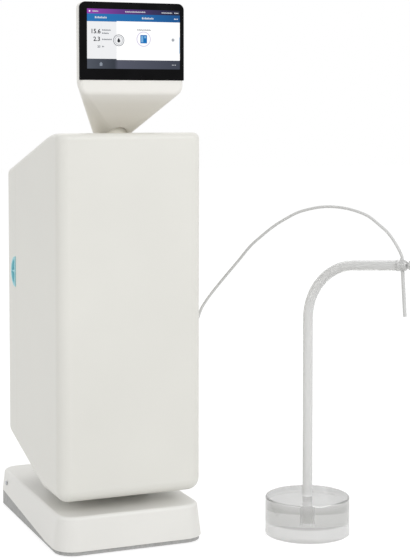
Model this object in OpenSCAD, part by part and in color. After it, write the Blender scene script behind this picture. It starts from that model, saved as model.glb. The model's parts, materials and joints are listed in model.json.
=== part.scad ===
// Bench-top ultrapure water unit: a cream tower on a flared base, a swivelling
// touch display, and a clear stand that holds the end of the dispense tube.
// Millimetres. X is right, Y is back, Z is up. The origin is on the bench, under
// the middle of the base.

/* [Tower] */
// Width of the tower
body_w = 169; // [160:1:180]
// Depth of the tower, front to back
body_d = 218; // [210:1:230]
// Y of the tower's front face
body_front = -126; // [-128:0.5:-122]
// Height of the flat top above the bench
body_top = 464; // [455:1:475]
// Height of the flat underside above the bench
body_bottom = 57; // [54:0.5:62]
// Wall of the moulded covers
body_wall = 3; // [2.5:0.5:3.5]
// Radius of the upright corners
corner_r = 12; // [11:0.5:13]
// Radius of the edge round the top
top_edge_r = 7; // [6:0.5:8]
// Radius of the lower edges and corners
low_edge_r = 14; // [12:0.5:15]
// Slope of the rear of the top and of the underside
slope = 14.5; // [13:0.5:16]
// Radius of the crest where the top turns down
crest_r = 150; // [120:5:160]
// Y of the seam between the tower shell and the service door
seam_y = 49; // [47:0.5:52]
// Width of that seam
seam_gap = 0.4; // [0.2:0.1:0.8]

/* [Base] */
// Width of the base at its foot
base_w = 175; // [170:1:182]
// Depth of the base at its foot
base_d = 266; // [260:1:275]
// Height of the base's top
base_top = 43; // [41:0.5:46]
// How far each side leans in from foot to top
base_lean = 4; // [3:0.5:6]
// Corner radius at the foot of the base
base_r = 24; // [22:0.5:26]
// Height of the cover's lower edge at the front
cover_low = 5.6; // [5:0.2:7]
// Height of the cover's lower edge at the back
cover_low_back = 20; // [16:0.5:22]
// Wall of the base cover
base_wall = 3; // [2.5:0.5:3.5]

/* [Display head] */
// Width of the display glass
glass_w = 121.5; // [116:0.5:126]
// Height of the display glass
glass_h = 85; // [80:0.5:88]
// Thickness of the display glass
glass_t = 3; // [2.5:0.5:4]
// Height of the top of the display above the bench
head_top = 607.2; // [600:0.2:615]
// Height of the plain chin below the glass
chin_h = 18; // [15:0.5:20]
// Depth of the flat part of the head
head_t = 14; // [12:0.5:18]
// Wall of the head
head_wall = 2.5; // [2:0.5:3]
// Radius of the head's neck
neck_r = 22; // [21:0.5:24]
// Y of the swivel axis
swivel_y = -60; // [-64:1:-56]

/* [Stand] */
// Diameter of the stand's disc
disc_d = 97.5; // [90:0.5:105]
// Thickness of the stand's disc
disc_h = 42.6; // [36:0.2:48]
// Diameter of the stand's rod
rod_d = 11.5; // [10:0.5:12]
// X of the stand's rod
stand_x = 210; // [200:1:220]
// Y of the stand's rod
stand_y = -141; // [-146:1:-136]
// Direction of the arm in plan, from +X
arm_yaw = -60; // [-64:1:-56]
// Height at which the rod's bend starts
bend_z = 248.5; // [240:0.5:255]
// Radius of the rod's bend
bend_r = 66; // [62:0.5:70]
// Length of the arm from the bend to its rounded end
arm_len = 70; // [66:0.5:76]
// Outer diameter of the dispense tube
tube_d = 3.2; // [3:0.1:3.6]
// Outer diameter of the nozzle tube
nozzle_d = 4; // [3.8:0.1:4.4]
// Length of the nozzle tube below the arm
nozzle_drop = 50; // [44:1:56]

/* [Inside] */
// Width of the chassis sheet
chassis_w = 140; // [134:1:141]
// Thickness of the chassis sheet
sheet_t = 2; // [1.5:0.5:2.5]
// Radius of the purification cartridge
cartridge_r = 40; // [36:0.5:41]
// Height of the cartridge's body
cartridge_h = 197; // [185:1:200]
// Radius of the lamp chamber's tube
uv_r = 16; // [14:0.5:16]
// Height of the lamp chamber
uv_h = 140; // [130:1:144]
// Radius of the pump's motor
motor_r = 20; // [18:0.5:20]
// Radius of the flow meter's turbine
turbine_r = 9; // [8:0.5:9.5]
// Radial clearance of every running fit
running_gap = 0.05; // [0.02:0.01:0.08]

/* [Hidden] */

$fn = 48;
edge_fn = 32;
cut = 1;

cream = "#E2E1DC";
off_white = "#E4E3E0";
ring_grey = "#A3A3A2";
glass_black = "#0C0D0F";
pull_blue = "#5FA0B8";
clear_grey = "#D5D8D8";
steel = "#B9BCBF";
dark_steel = "#6C7074";
acetal = "#ECEBE6";
board_green = "#2F6B4A";
brass = "#C8A24C";
rubber_black = "#26272A";

// Tower
body_rear = body_front + body_d;
side_x = body_w / 2;
inner_x = side_x - body_wall;
crest_y = -88;
crest_start = crest_y - crest_r * tan(slope / 2);
crest_steps = 4;
under_y = -50;

// Height of the sloped part of the underside and of the top at a given Y
function under_z(y) = body_bottom + max(0, y - under_y) * tan(slope);
function floor_z(y) = under_z(y) + body_wall / cos(slope);
function roof_z(y) = body_top - max(0, y - crest_y) * tan(slope);

// Base
cover_slope_y = -80;
tray_z = 1;
tray_floor = 3.5;
foot_r = 10;
ballast_t = 8;
column_w = 100;
column_front = -48;
column_rear = 44;
column_r = 12;
column_wall = 3;
boss_x = 40;
boss_ys = [-36, 14];
boss_r = 6;
bolt_r = 2.5;
screw_r = 1.5;
bolt_reach = 7;
panel_z = 62;
panel_y = column_rear + 2;
panel_screw_x = 44;
panel_screw_rise = 11;

// Head
head_front = body_front - 3;
glass_y = head_front - 0.9;
glass_z = head_top - glass_h;
chin_z = glass_z - chin_h;
lcd_x = 1;
head_corner = 7;
chin_corner = 12;
neck_z = 463.2;
web_z = 474;
bush_r = 10;
spindle_r = 8;
flange_z = 430;
turret_r = 17.5;
turret_flange = 4;
dome_r = neck_r - head_wall - 0.3;
dome_z = neck_z + 3.8;
dome_edge = 3;
bush_rim = 2;
web_t = 4;
ring_screw_r = 21;
ring_screw_turns = [30, 150, 270];
arch_r = 16;
arch_z = dome_z + dome_edge - arch_r;

// Chassis
chassis_y = -20;
chassis_back = chassis_y + sheet_t;

// Fluid parts on the chassis
pump_x = -50;
pump_y = chassis_y - motor_r - 2;
pump_z = 170;
uv_x = 4;
uv_y = chassis_y - uv_r - 5;
uv_z = 165;
block_x = 30;
block_w = 16;
block_d = 18;
block_z = 170;
block_h = 120;
valve_x = block_x + block_w;
outlet_z = 222;
outlet_y = -30;
meter_x = block_x + block_w / 2;
meter_z = 196;
cell_z = 255;
cart_x = -20;
cart_y = 30;
cart_z = 138;
cart_shoulder = 12;
head_block_z = cart_z + cartridge_h + cart_shoulder + 25;
head_block_h = 26;
neck_seat_r = 14.2;

// Door hinge
hinge_r = 3.2;
hinge_x = side_x + hinge_r;
hinge_zs = [150, 370];
knuckle_h = 12;
pin_r = 1.3;
leaf_t = 1.2;

// Door pull
pull_r = 18;
pull_z = 296;
pull_flat = seam_y + 1.2;
magnet_zs = [235, 338];

// Stand
arm_tilt = 3.7;
bend_turn = 90 - arm_tilt;
rod_r = rod_d / 2;
holder_r = rod_r + 0.6;
holder_len = 14;
bore_back = 7.5;
knob_r = 5;

// Hand-set route of the dispense tube from its outlet to the nozzle
tube_route = [
    [103, -30, 222], [108, -30, 224], [113, -31, 230], [117, -33, 240],
    [121, -37, 254], [131, -43, 271], [143, -51, 289], [156, -62, 309],
    [167, -74, 328], [177, -85, 341], [187, -97, 353], [196, -109, 362],
    [205, -122, 370], [214, -136, 375], [222, -150, 378], [230, -164, 379],
    [238, -179, 378], [246, -193, 375], [253, -207, 370], [260, -222, 360],
    [264, -229, 354], [267, -237, 346], [270, -244, 336]
];
tube_steps = 2;
tube_sides = 8;
tube_side_ref = [0.8, 0.6, 0];

// ---------------------------------------------------------------- helpers

module plate_outline(w, d, r) {
    square([w - 2 * r, d], center = true);
    square([w, d - 2 * r], center = true);
    for (x = [-1, 1], y = [-1, 1])
        translate([x * (w / 2 - r), y * (d / 2 - r)]) circle(r);
}

module block(x0, x1, y0, y1, z0, z1)
    translate([x0, y0, z0]) cube([x1 - x0, y1 - y0, z1 - z0]);

module rod_x(x0, x1, y, z, r) translate([x0, y, z]) rotate([0, 90, 0]) cylinder(r = r, h = x1 - x0);

module rod_y(x, y0, y1, z, r) translate([x, y0, z]) rotate([-90, 0, 0]) cylinder(r = r, h = y1 - y0);

module rod_z(x, y, z0, z1, r) translate([x, y, z0]) cylinder(r = r, h = z1 - z0);

// Disc whose rim is rounded to the radius f; a ball when f is the whole radius
module edge_disc(r, f) rotate_extrude($fn = edge_fn) intersection() {
    translate([r - f, 0]) circle(f, $fn = 24);
    translate([0, -f]) square([r, 2 * f]);
}

// Solid on one side of the underside's slope, seen along X
module above_slope(lift = 0) rotate([90, 0, 90]) linear_extrude(2 * body_w, center = true)
    polygon([
        [under_y - 60, under_z(under_y) - 60 * tan(slope) + lift / cos(slope)],
        [body_rear + 60, under_z(body_rear + 60) + lift / cos(slope)],
        [body_rear + 60, body_top], [under_y - 60, body_top]
    ]);

module below_slope(lift = 0) rotate([90, 0, 90]) linear_extrude(2 * body_w, center = true)
    polygon([
        [under_y - 60, under_z(under_y) - 60 * tan(slope) + lift / cos(slope)],
        [body_rear + 60, under_z(body_rear + 60) + lift / cos(slope)],
        [body_rear + 60, 0], [under_y - 60, 0]
    ]);

// ---------------------------------------------------------------- tower

// Outer form of the tower, or its inner form when inset by the wall
module body_form(inset = 0) {
    disc_x = side_x - corner_r;
    ball_x = side_x - low_edge_r;
    reach = corner_r - top_edge_r;
    rear_y = body_rear - corner_r;
    ball_lift = low_edge_r / cos(slope);
    rear_ball_y = body_rear - low_edge_r;
    hull() for (side = [-1, 1]) {
        translate([side * disc_x, body_front + corner_r, body_top - top_edge_r])
            edge_disc(corner_r - inset, top_edge_r - inset);
        for (k = [0:crest_steps]) {
            turn = slope * k / crest_steps;
            y = crest_start + (crest_r - top_edge_r) * sin(turn) - reach;
            z = body_top - crest_r + (crest_r - top_edge_r) * cos(turn);
            translate([side * disc_x, max(y, body_front + corner_r), z])
                edge_disc(corner_r - inset, top_edge_r - inset);
        }
        translate([side * disc_x, rear_y, roof_z(rear_y + reach) - top_edge_r / cos(slope)])
            edge_disc(corner_r - inset, top_edge_r - inset);
        translate([side * ball_x, body_front + low_edge_r, body_bottom + low_edge_r])
            edge_disc(low_edge_r - inset, low_edge_r - inset);
        translate([side * ball_x, under_y - low_edge_r * tan(slope / 2), body_bottom + low_edge_r])
            edge_disc(low_edge_r - inset, low_edge_r - inset);
        translate([side * ball_x, rear_ball_y, under_z(rear_ball_y) + ball_lift])
            edge_disc(low_edge_r - inset, low_edge_r - inset);
    }
}

module body_skin() difference() {
    body_form();
    body_form(body_wall);
}

module housing_shell() color(cream) difference() {
    body_skin();
    block(-body_w, body_w, seam_y - seam_gap / 2, body_rear + cut, 0, body_top + cut);
    rod_z(0, swivel_y, body_top - 40, body_top + cut, dome_r + 0.5);
    rod_x(inner_x - cut, side_x + cut, outlet_y, outlet_z, 6);
    block(-29, 29, -28, 6, body_bottom - cut, under_z(6) + 8);
    boss_screws(screw_r + 0.1, -20, 20);
}

module service_door() color(cream) difference() {
    body_skin();
    block(-body_w, body_w, body_front - cut, seam_y + seam_gap / 2, 0, body_top + cut);
    translate([-side_x - cut, 0, 0]) pull_outline(0.15, body_wall + 2 * cut);
}

// D-shaped outline of the pull, standing on the left wall
module pull_outline(grow, depth) intersection() {
    rod_x(0, depth, pull_flat, pull_z, pull_r + grow);
    block(-cut, depth + cut, pull_flat - grow, pull_flat + 2 * pull_r, pull_z - 2 * pull_r, pull_z + 2 * pull_r);
}

module door_pull() color(pull_blue) {
    face = -side_x - 0.9;
    difference() {
        translate([face, 0, 0]) pull_outline(0, 5.2);
        intersection() {
            translate([face - cut, 0, 0]) rod_x(0, cut + 3.2, pull_flat, pull_z, pull_r - 3);
            block(face - cut, face + 4, pull_flat + 3, pull_flat + pull_r, pull_z - pull_r, pull_z + pull_r);
        }
    }
    block(face + 0.6, face + 3.3, pull_flat + 2, pull_flat + pull_r - 2, pull_z - 0.9, pull_z + 0.9);
    translate([-inner_x, 0, 0]) difference() {
        pull_outline(3, 1.2);
        block(-cut, 4, pull_flat - 9, pull_flat + 1, pull_z - 2 * pull_r, pull_z + 2 * pull_r);
    }
}

module door_magnets() color(dark_steel)
    for (z = magnet_zs) block(-inner_x, -inner_x + 6, seam_y - 11, seam_y - 0.5, z, z + 16);

module magnet_plates() color(steel)
    for (z = magnet_zs) block(-inner_x, -inner_x + 6, seam_y + 0.5, seam_y + 3, z, z + 16);

// ---------------------------------------------------------------- door hinge

// One leaf with its knuckle: side -1 lies on the tower, side 1 on the door
module leaf(side, bore) {
    low = side < 0 ? -knuckle_h : 0.15;
    difference() {
        union() {
            translate([hinge_x, seam_y, low]) cylinder(r = hinge_r, h = knuckle_h - 0.15);
            block(side_x, side_x + leaf_t, seam_y + (side < 0 ? -19 : 1), seam_y + (side < 0 ? -1 : 19),
                side < 0 ? -knuckle_h : 0.15, side < 0 ? -0.15 : knuckle_h);
            block(side_x, hinge_x, seam_y + (side < 0 ? -3 : 1), seam_y + (side < 0 ? -1 : 3),
                side < 0 ? -knuckle_h : 0.15, side < 0 ? -0.15 : knuckle_h);
        }
        translate([hinge_x, seam_y, low - cut]) cylinder(r = bore, h = knuckle_h + 2 * cut);
    }
}

module hinge_leaves() color(steel)
    for (z = hinge_zs) translate([0, 0, z]) leaf(-1, pin_r);

module door_leaves() color(steel)
    for (z = hinge_zs) translate([0, 0, z]) leaf(1, pin_r + running_gap);

module hinge_pins() color(dark_steel) for (z = hinge_zs) {
    rod_z(hinge_x, seam_y, z - knuckle_h, z + knuckle_h + 0.4, pin_r);
    rod_z(hinge_x, seam_y, z - knuckle_h - 1.2, z - knuckle_h, pin_r + 0.9);
}

// ---------------------------------------------------------------- base

module cover_form(inset = 0) {
    top_r = base_r - base_lean;
    edge = 4;
    foot_w = base_w / 2 - base_r;
    foot_d = base_d / 2 - base_r;
    hull() for (x = [-1, 1], y = [-1, 1]) {
        translate([x * foot_w, y * foot_d, cover_low])
            cylinder(r = base_r - inset, h = 0.4, $fn = edge_fn);
        translate([x * foot_w, y * foot_d, base_top - edge])
            edge_disc(top_r - inset, edge - min(inset, edge - 0.8));
    }
}

// Solid under the seam between base cover and tray, seen along X
module below_seam() rotate([90, 0, 90]) linear_extrude(2 * base_w, center = true)
    polygon([
        [-base_d, -cut], [base_d, -cut],
        [base_d, cover_low + (base_d - cover_slope_y) * seam_rise], [cover_slope_y, cover_low],
        [-base_d, cover_low]
    ]);
seam_rise = (cover_low_back - cover_low) / (base_d / 2 - cover_slope_y);

module base_cover() color(off_white) difference() {
    cover_form();
    intersection() {
        cover_form(base_wall);
        translate([0, 0, base_top / 2 - base_wall]) cube([base_w, base_d, base_top], center = true);
    }
    below_seam();
    translate([0, 0, cover_low - cut])
        linear_extrude(cut + 0.5) plate_outline(base_w - 2 * base_wall, base_d - 2 * base_wall, base_r - base_wall);
    base_bolt_shanks(bolt_r + 0.1);
    both_sides() rod_x(side_tab_x - 3, base_w, side_screw_y, side_screw_z, screw_r + 0.05);
}

module base_tray() color(ring_grey) {
    difference() {
        intersection() {
            translate([0, 0, tray_z]) linear_extrude(base_top) plate_outline(base_w - 4, base_d - 4, base_r - 2);
            below_seam();
        }
        translate([0, 0, tray_z + tray_floor]) linear_extrude(base_top)
            plate_outline(base_w - 4 - 2 * base_wall, base_d - 4 - 2 * base_wall, base_r - 2 - base_wall);
        feet_discs(tray_z + 1.5);
    }
    both_sides() difference() {
        block(side_tab_x - 4, side_tab_x, side_screw_y - 7, side_screw_y + 7, tray_z + tray_floor - 0.5, side_screw_z + 5);
        rod_x(side_tab_x - 5, side_tab_x + 1, side_screw_y, side_screw_z, screw_r);
    }
}

side_tab_x = base_w / 2 - base_lean - base_wall - 0.3;
side_screw_y = 95;
side_screw_z = 30;

module both_sides() for (side = [0, 1]) mirror([side, 0, 0]) children();

module feet_discs(h) for (x = [-1, 1], y = [-1, 1])
    rod_z(x * (base_w / 2 - 19), y * (base_d / 2 - 17), 0, h, foot_r);

module rubber_feet() color(rubber_black) feet_discs(tray_z + 1.5);

ballast_z = base_top - base_wall - ballast_t;

module ballast_plate() color(dark_steel) difference() {
    translate([0, 0, ballast_z]) linear_extrude(ballast_t) plate_outline(120, 200, 8);
    base_bolt_shanks(bolt_r + 0.1);
}

module base_bolt_shanks(r) for (x = [-1, 1], y = boss_ys)
    rod_z(x * boss_x, y, ballast_z - cut, base_top + bolt_reach, r);

module base_bolts() color(steel) for (x = [-1, 1], y = boss_ys) {
    rod_z(x * boss_x, y, ballast_z - 3, ballast_z, bolt_r + 2);
    rod_z(x * boss_x, y, ballast_z, base_top + bolt_reach, bolt_r);
}

module column() color(ring_grey) difference() {
    union() {
        intersection() {
            translate([0, (column_front + column_rear) / 2, base_top]) linear_extrude(60) difference() {
                plate_outline(column_w, column_rear - column_front, column_r);
                plate_outline(column_w - 2 * column_wall, column_rear - column_front - 2 * column_wall,
                    column_r - column_wall);
            }
            below_slope();
        }
        intersection() {
            for (x = [-1, 1], y = boss_ys) {
                rod_z(x * boss_x, y, base_top, base_top + 60, boss_r);
                block(x > 0 ? boss_x : -column_w / 2 + 1, x > 0 ? column_w / 2 - 1 : -boss_x,
                    y - 2, y + 2, base_top, base_top + 60);
            }
            below_slope();
        }
    }
    for (x = [-1, 1], y = boss_ys) rod_z(x * boss_x, y, base_top - cut, base_top + bolt_reach, bolt_r);
    boss_screws(screw_r, -8, 20);
    block(-40, 40, column_rear - 10, column_rear + cut, 49, 75);
    panel_screw_shanks();
}

// Screw axes square to the sloped floor, from depth a below the underside to b above it
module boss_screws(r, a, b) for (x = [-1, 1], y = boss_ys)
    translate([x * boss_x, y, under_z(y)]) rotate([slope, 0, 0]) translate([0, 0, a]) cylinder(r = r, h = b - a);

module housing_screws() color(steel) {
    top = body_wall + sheet_t;
    boss_screws(screw_r, -8, top);
    boss_screws(screw_r + 1.5, top, top + 2);
}

// ---------------------------------------------------------------- connection panel

rocker_x = -14;
rocker_r = 9.5;
jack_x = -33;
fitting_xs = [8, 28];

module panel_screw_shanks() at_panel_screws() rod_y(0, column_rear - column_wall, panel_y, 0, screw_r);

module at_panel_screws() for (x = [-1, 1], z = [-1, 1])
    translate([x * panel_screw_x, 0, panel_z + z * panel_screw_rise]) children();

module connection_panel() color(dark_steel) difference() {
    block(-47, 47, column_rear, panel_y, 46, 78);
    rod_y(jack_x, column_rear - cut, panel_y + cut, panel_z, 6);
    block(rocker_x - 7, rocker_x + 7, column_rear - cut, panel_y + cut, panel_z - 11, panel_z + 11);
    for (x = fitting_xs) rod_y(x, column_rear - cut, panel_y + cut, panel_z, 5);
    panel_screw_shanks();
}

module power_jack() color(rubber_black) {
    difference() {
        union() {
            rod_y(jack_x, column_rear - 16, panel_y, panel_z, 6);
            rod_y(jack_x, panel_y, panel_y + 2, panel_z, 8);
        }
        rod_y(jack_x, panel_y - 10, panel_y + 2 + cut, panel_z, 3.2);
    }
    rod_y(jack_x, panel_y - 12, panel_y - 1, panel_z, 1);
}

module switch_frame() color(rubber_black) difference() {
    union() {
        block(rocker_x - 7, rocker_x + 7, column_rear - 14, panel_y, panel_z - 11, panel_z + 11);
        block(rocker_x - 8.5, rocker_x + 8.5, panel_y, panel_y + 1.6, panel_z - 12.5, panel_z + 12.5);
    }
    rod_x(rocker_x - 5, rocker_x + 5, panel_y - 3.5, panel_z, rocker_r + 0.4);
    rod_x(rocker_x - 6.5, rocker_x + 6.5, panel_y - 3.5, panel_z, 1.5 + running_gap);
}

// Two flat faces meet in a shallow valley; the far end stands proud at rest
module power_rocker() color("#34363A") {
    intersection() {
        rod_x(rocker_x - 4.8, rocker_x + 4.8, panel_y - 3.5, panel_z, rocker_r);
        translate([rocker_x, panel_y - 3.5, panel_z]) rotate([-8, 0, 0]) rotate([90, 0, 90])
            linear_extrude(12, center = true)
                polygon([[-3, -8], [-3, 8], [7.4, 9], [4.9, 0], [7.4, -9]]);
    }
    rod_x(rocker_x - 6.3, rocker_x + 6.3, panel_y - 3.5, panel_z, 1.5);
}

module hose_fittings() color(acetal) for (x = fitting_xs) difference() {
    union() {
        rod_y(x, column_rear - 18, panel_y + 12, panel_z, 5);
        rod_y(x, column_rear - 6, column_rear, panel_z, 6.5);
        translate([x, panel_y, panel_z]) rotate([-90, 0, 0]) cylinder(r = 7.5, h = 6, $fn = 6);
        rod_y(x, panel_y + 6, panel_y + 12, panel_z, 6);
    }
    rod_y(x, panel_y - 2, panel_y + 12 + cut, panel_z, 3 + running_gap);
}

module small_screws() color(steel) {
    both_sides() {
        rod_x(side_tab_x - 4, side_tab_x + 4.8, side_screw_y, side_screw_z, screw_r);
        rod_x(side_tab_x + 4.8, side_tab_x + 6.2, side_screw_y, side_screw_z, 2.6);
    }
    panel_screw_shanks();
    at_panel_screws() rod_y(0, panel_y, panel_y + 1.6, 0, 2.6);
    seat = flange_z + sheet_t + turret_flange;
    at_ring_screws() rod_z(ring_screw_r, 0, flange_z - 3, seat, screw_r);
    at_ring_screws() rod_z(ring_screw_r, 0, seat, seat + 1.8, 2.6);
}

// ---------------------------------------------------------------- chassis

module chassis_plate() color(steel) difference() {
    rise = sheet_t / cos(slope);
    rotate([90, 0, 90]) linear_extrude(chassis_w, center = true) polygon([
        [under_y + 4, floor_z(under_y + 4)], [38, floor_z(38)],
        [38, floor_z(38) + rise], [chassis_back, floor_z(chassis_back) + rise],
        [chassis_back, flange_z + sheet_t], [swivel_y - 30, flange_z + sheet_t],
        [swivel_y - 30, flange_z], [chassis_y, flange_z],
        [chassis_y, floor_z(chassis_y) + rise], [under_y + 4, floor_z(under_y + 4) + rise]
    ]);
    block(-29, 29, -28, 6, body_bottom, floor_z(0) + 12);
    boss_screws(screw_r, -20, 20);
    rod_z(0, swivel_y, flange_z - cut, flange_z + sheet_t + cut, bush_r);
    at_ring_screws() rod_z(ring_screw_r, 0, flange_z - cut, flange_z + sheet_t + cut, screw_r);
    rod_y(pump_x, chassis_y - cut, chassis_back + cut, pump_z + 67, 4);
    rod_y(uv_x, chassis_y - cut, chassis_back + cut, 338, 4);
}

// Three screws round the swivel, through the turret's flange
module at_ring_screws() for (a = ring_screw_turns) translate([0, swivel_y, 0]) rotate([0, 0, a]) children();

// Flange, waist, and the wider dome that fills the arch of the neck
module turret() color(cream) difference() {
    base = flange_z + sheet_t;
    translate([0, swivel_y, 0]) rotate_extrude() {
        translate([bush_r, base]) square([ring_screw_r + 3 - bush_r, turret_flange]);
        translate([bush_r, base]) square([turret_r - bush_r, dome_z - base]);
        translate([bush_r, dome_z - 14]) square([dome_r - bush_r, 14]);
        translate([dome_r - dome_edge, dome_z]) intersection() {
            circle(dome_edge);
            square(dome_edge);
        }
        translate([bush_r, dome_z]) square([dome_r - dome_edge - bush_r, dome_edge]);
    }
    at_ring_screws() rod_z(ring_screw_r, 0, base - cut, base + turret_flange + cut, screw_r);
}

module swivel_bush() color(acetal) translate([0, swivel_y, 0]) rotate_extrude() {
    inner = spindle_r + running_gap;
    rim_z = dome_z + dome_edge;
    translate([inner, flange_z]) square([bush_r - inner, rim_z - flange_z]);
    translate([inner, rim_z]) square([12.5 - inner, web_z - bush_rim - rim_z]);
}

module power_board() color(board_green) {
    block(-66, -34, -28, -26.4, 92, 150);
    color(rubber_black) block(-62, -48, -40, -28, 120, 146);
    color(steel) rod_y(-42, -44, -28, 108, 5);
    color(steel) rod_y(-56, -44, -28, 106, 6);
}

module control_board() color(board_green) {
    block(-65, 65, -28, -26.4, 356, 422);
    color(rubber_black) block(-20, 4, -30, -28, 380, 404);
    color(rubber_black) block(20, 34, -30, -28, 368, 382);
    color(acetal) for (x = [-58, -40, 42]) block(x, x + 14, -36, -28, 358, 366);
    color(steel) rod_y(52, -40, -28, 404, 5);
    color(steel) rod_y(-52, -40, -28, 404, 5);
}

module board_standoffs() color(brass) {
    for (x = [-61, 61], z = [360, 418]) rod_y(x, -26.4, chassis_y, z, 2.5);
    for (x = [-59, -38], z = [96, 147]) rod_y(x, -26.4, chassis_y, z, 2.5);
}

// ---------------------------------------------------------------- pump, lamp, valve

motor_h = 55;
pump_head_z = pump_z + motor_h;
shaft_r = 2.5;

module pump_motor() color(dark_steel) difference() {
    union() {
        rod_z(pump_x, pump_y, pump_z, pump_head_z, motor_r);
        block(pump_x - 12, pump_x + 12, pump_y + motor_r - 4, chassis_y, pump_z + 6, pump_head_z - 8);
    }
    rod_z(pump_x, pump_y, pump_z + 18, pump_head_z + cut, shaft_r + running_gap);
}

module pump_head() color(acetal) difference() {
    union() {
        rod_z(pump_x, pump_y, pump_head_z, pump_head_z + 25, motor_r);
        rod_z(pump_x, pump_y, pump_head_z + 25, pump_head_z + 29, 5);
        rod_y(pump_x, pump_y + 14, chassis_y, pump_head_z + 12, 5);
    }
    rod_z(pump_x, pump_y, pump_head_z - cut, pump_head_z + 5, shaft_r + running_gap);
    rod_z(pump_x, pump_y, pump_head_z + 4, pump_head_z + 18, 16);
    rod_z(pump_x, pump_y, pump_head_z + 17, pump_head_z + 29 + cut, 1.8);
    rod_y(pump_x, pump_y + 10, chassis_y + cut, pump_head_z + 12, 1.8);
}

module pump_rotor() color(steel) {
    rod_z(pump_x, pump_y, pump_z + 20, pump_head_z + 16, shaft_r);
    rod_z(pump_x, pump_y, pump_head_z + 6, pump_head_z + 8, 15);
    for (a = [0:60:300]) translate([pump_x, pump_y, pump_head_z + 7.5]) rotate([0, 0, a])
        translate([2, -1, 0]) cube([12.8, 2, 7.5]);
}

module uv_chamber() color(steel) difference() {
    union() {
        rod_z(uv_x, uv_y, uv_z, uv_z + uv_h, uv_r);
        rod_z(uv_x, uv_y, uv_z, uv_z + 8, uv_r + 2);
        rod_z(uv_x, uv_y, uv_z + uv_h - 8, uv_z + uv_h, uv_r + 2);
        rod_z(uv_x - 11, uv_y, uv_z + uv_h, uv_z + uv_h + 5, 3.5);
        rod_z(uv_x - 11, uv_y, uv_z - 5, uv_z, 3.5);
    }
    rod_z(uv_x, uv_y, uv_z - cut, uv_z + uv_h + cut, 6);
    rod_z(uv_x, uv_y, uv_z + 4, uv_z + uv_h - 4, uv_r - 1.5);
}

module uv_lamp() color(clear_grey) {
    rod_z(uv_x, uv_y, uv_z - 4, uv_z + uv_h + 4, 6);
    color(acetal) rod_z(uv_x, uv_y, uv_z + uv_h + 4, uv_z + uv_h + 12, 7);
    color(acetal) rod_z(uv_x, uv_y, uv_z - 10, uv_z - 4, 7);
}

module uv_clamps() color(steel) for (z = [uv_z + 25, uv_z + uv_h - 35]) difference() {
    union() {
        rod_z(uv_x, uv_y, z, z + 10, uv_r + 1.5);
        block(uv_x - 10, uv_x + 10, uv_y + 5, chassis_y, z, z + 10);
    }
    rod_z(uv_x, uv_y, z - cut, z + 10 + cut, uv_r);
}

module manifold_block() color(acetal)
    block(block_x, block_x + block_w, chassis_y - block_d, chassis_y, block_z, block_z + block_h);

module dispense_valve() color(dark_steel) difference() {
    x = valve_x + 10;
    union() {
        color(acetal) block(valve_x, valve_x + 20, outlet_y - 10, outlet_y + 10, outlet_z - 12, outlet_z + 12);
        rod_z(x, outlet_y, outlet_z + 12, outlet_z + 40, 10);
    }
    rod_z(x, outlet_y, outlet_z + 2, outlet_z + 36, 4 + running_gap);
    rod_z(x, outlet_y, outlet_z - 2, outlet_z + 3, 1.6);
    rod_x(x - 1, valve_x + 20 + cut, outlet_y, outlet_z, 1.6);
}

module valve_plunger() color(steel) {
    x = valve_x + 10;
    rod_z(x, outlet_y, outlet_z + 3.2, outlet_z + 30, 4);
    color(rubber_black) rod_z(x, outlet_y, outlet_z + 2, outlet_z + 3.2, 3.6);
}

module flow_meter() color(clear_grey) difference() {
    front = chassis_y - block_d - 20;
    rod_y(meter_x, front, chassis_y - block_d, meter_z, 13);
    rod_y(meter_x, front + 4, front + 14, meter_z, turbine_r + 1);
    rod_y(meter_x, front + 2, front + 17, meter_z, 1 + running_gap);
}

module flow_turbine() color(pull_blue) {
    front = chassis_y - block_d - 20;
    rod_y(meter_x, front + 2.3, front + 16.7, meter_z, 1);
    rod_y(meter_x, front + 5, front + 13, meter_z, 3);
    for (a = [0:60:300]) translate([meter_x, front + 6, meter_z]) rotate([0, a, 0])
        translate([2, 0, -0.6]) cube([turbine_r - 2, 6, 1.2]);
}

module resistivity_cell() color(steel) {
    back = chassis_y - block_d;
    translate([meter_x, back, cell_z]) rotate([90, 0, 0]) cylinder(r = 8, h = 8, $fn = 6);
    rod_y(meter_x, back - 22, back - 8, cell_z, 5.5);
    color(rubber_black) rod_y(meter_x, back - 30, back - 22, cell_z, 3);
}

module outlet_fitting() color(acetal) difference() {
    union() {
        rod_x(inner_x - 8, side_x, outlet_y, outlet_z, 6);
        rod_x(inner_x - 3, inner_x, outlet_y, outlet_z, 8.5);
        rod_x(side_x, side_x + 2, outlet_y, outlet_z, 9.5);
        translate([side_x + 2, outlet_y, outlet_z]) rotate([0, 90, 0]) cylinder(r = 7.5, h = 8, $fn = 6);
        rod_x(side_x + 10, tube_route[0][0], outlet_y, outlet_z, 5);
    }
    rod_x(inner_x - 8 - cut, side_x + 11, outlet_y, outlet_z, 1.2);
}

// ---------------------------------------------------------------- internal tubes

// Straight stretches between points, with a slightly fuller ball at each corner
module tube_run(points, r) {
    for (i = [0:len(points) - 2]) {
        a = points[i];
        d = points[i + 1] - a;
        translate(a) rotate([0, acos(d.z / norm(d)), atan2(d.y, d.x)]) cylinder(r = r, h = norm(d));
    }
    if (len(points) > 2) for (i = [1:len(points) - 2]) translate(points[i]) sphere(r + 0.4);
}

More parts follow.
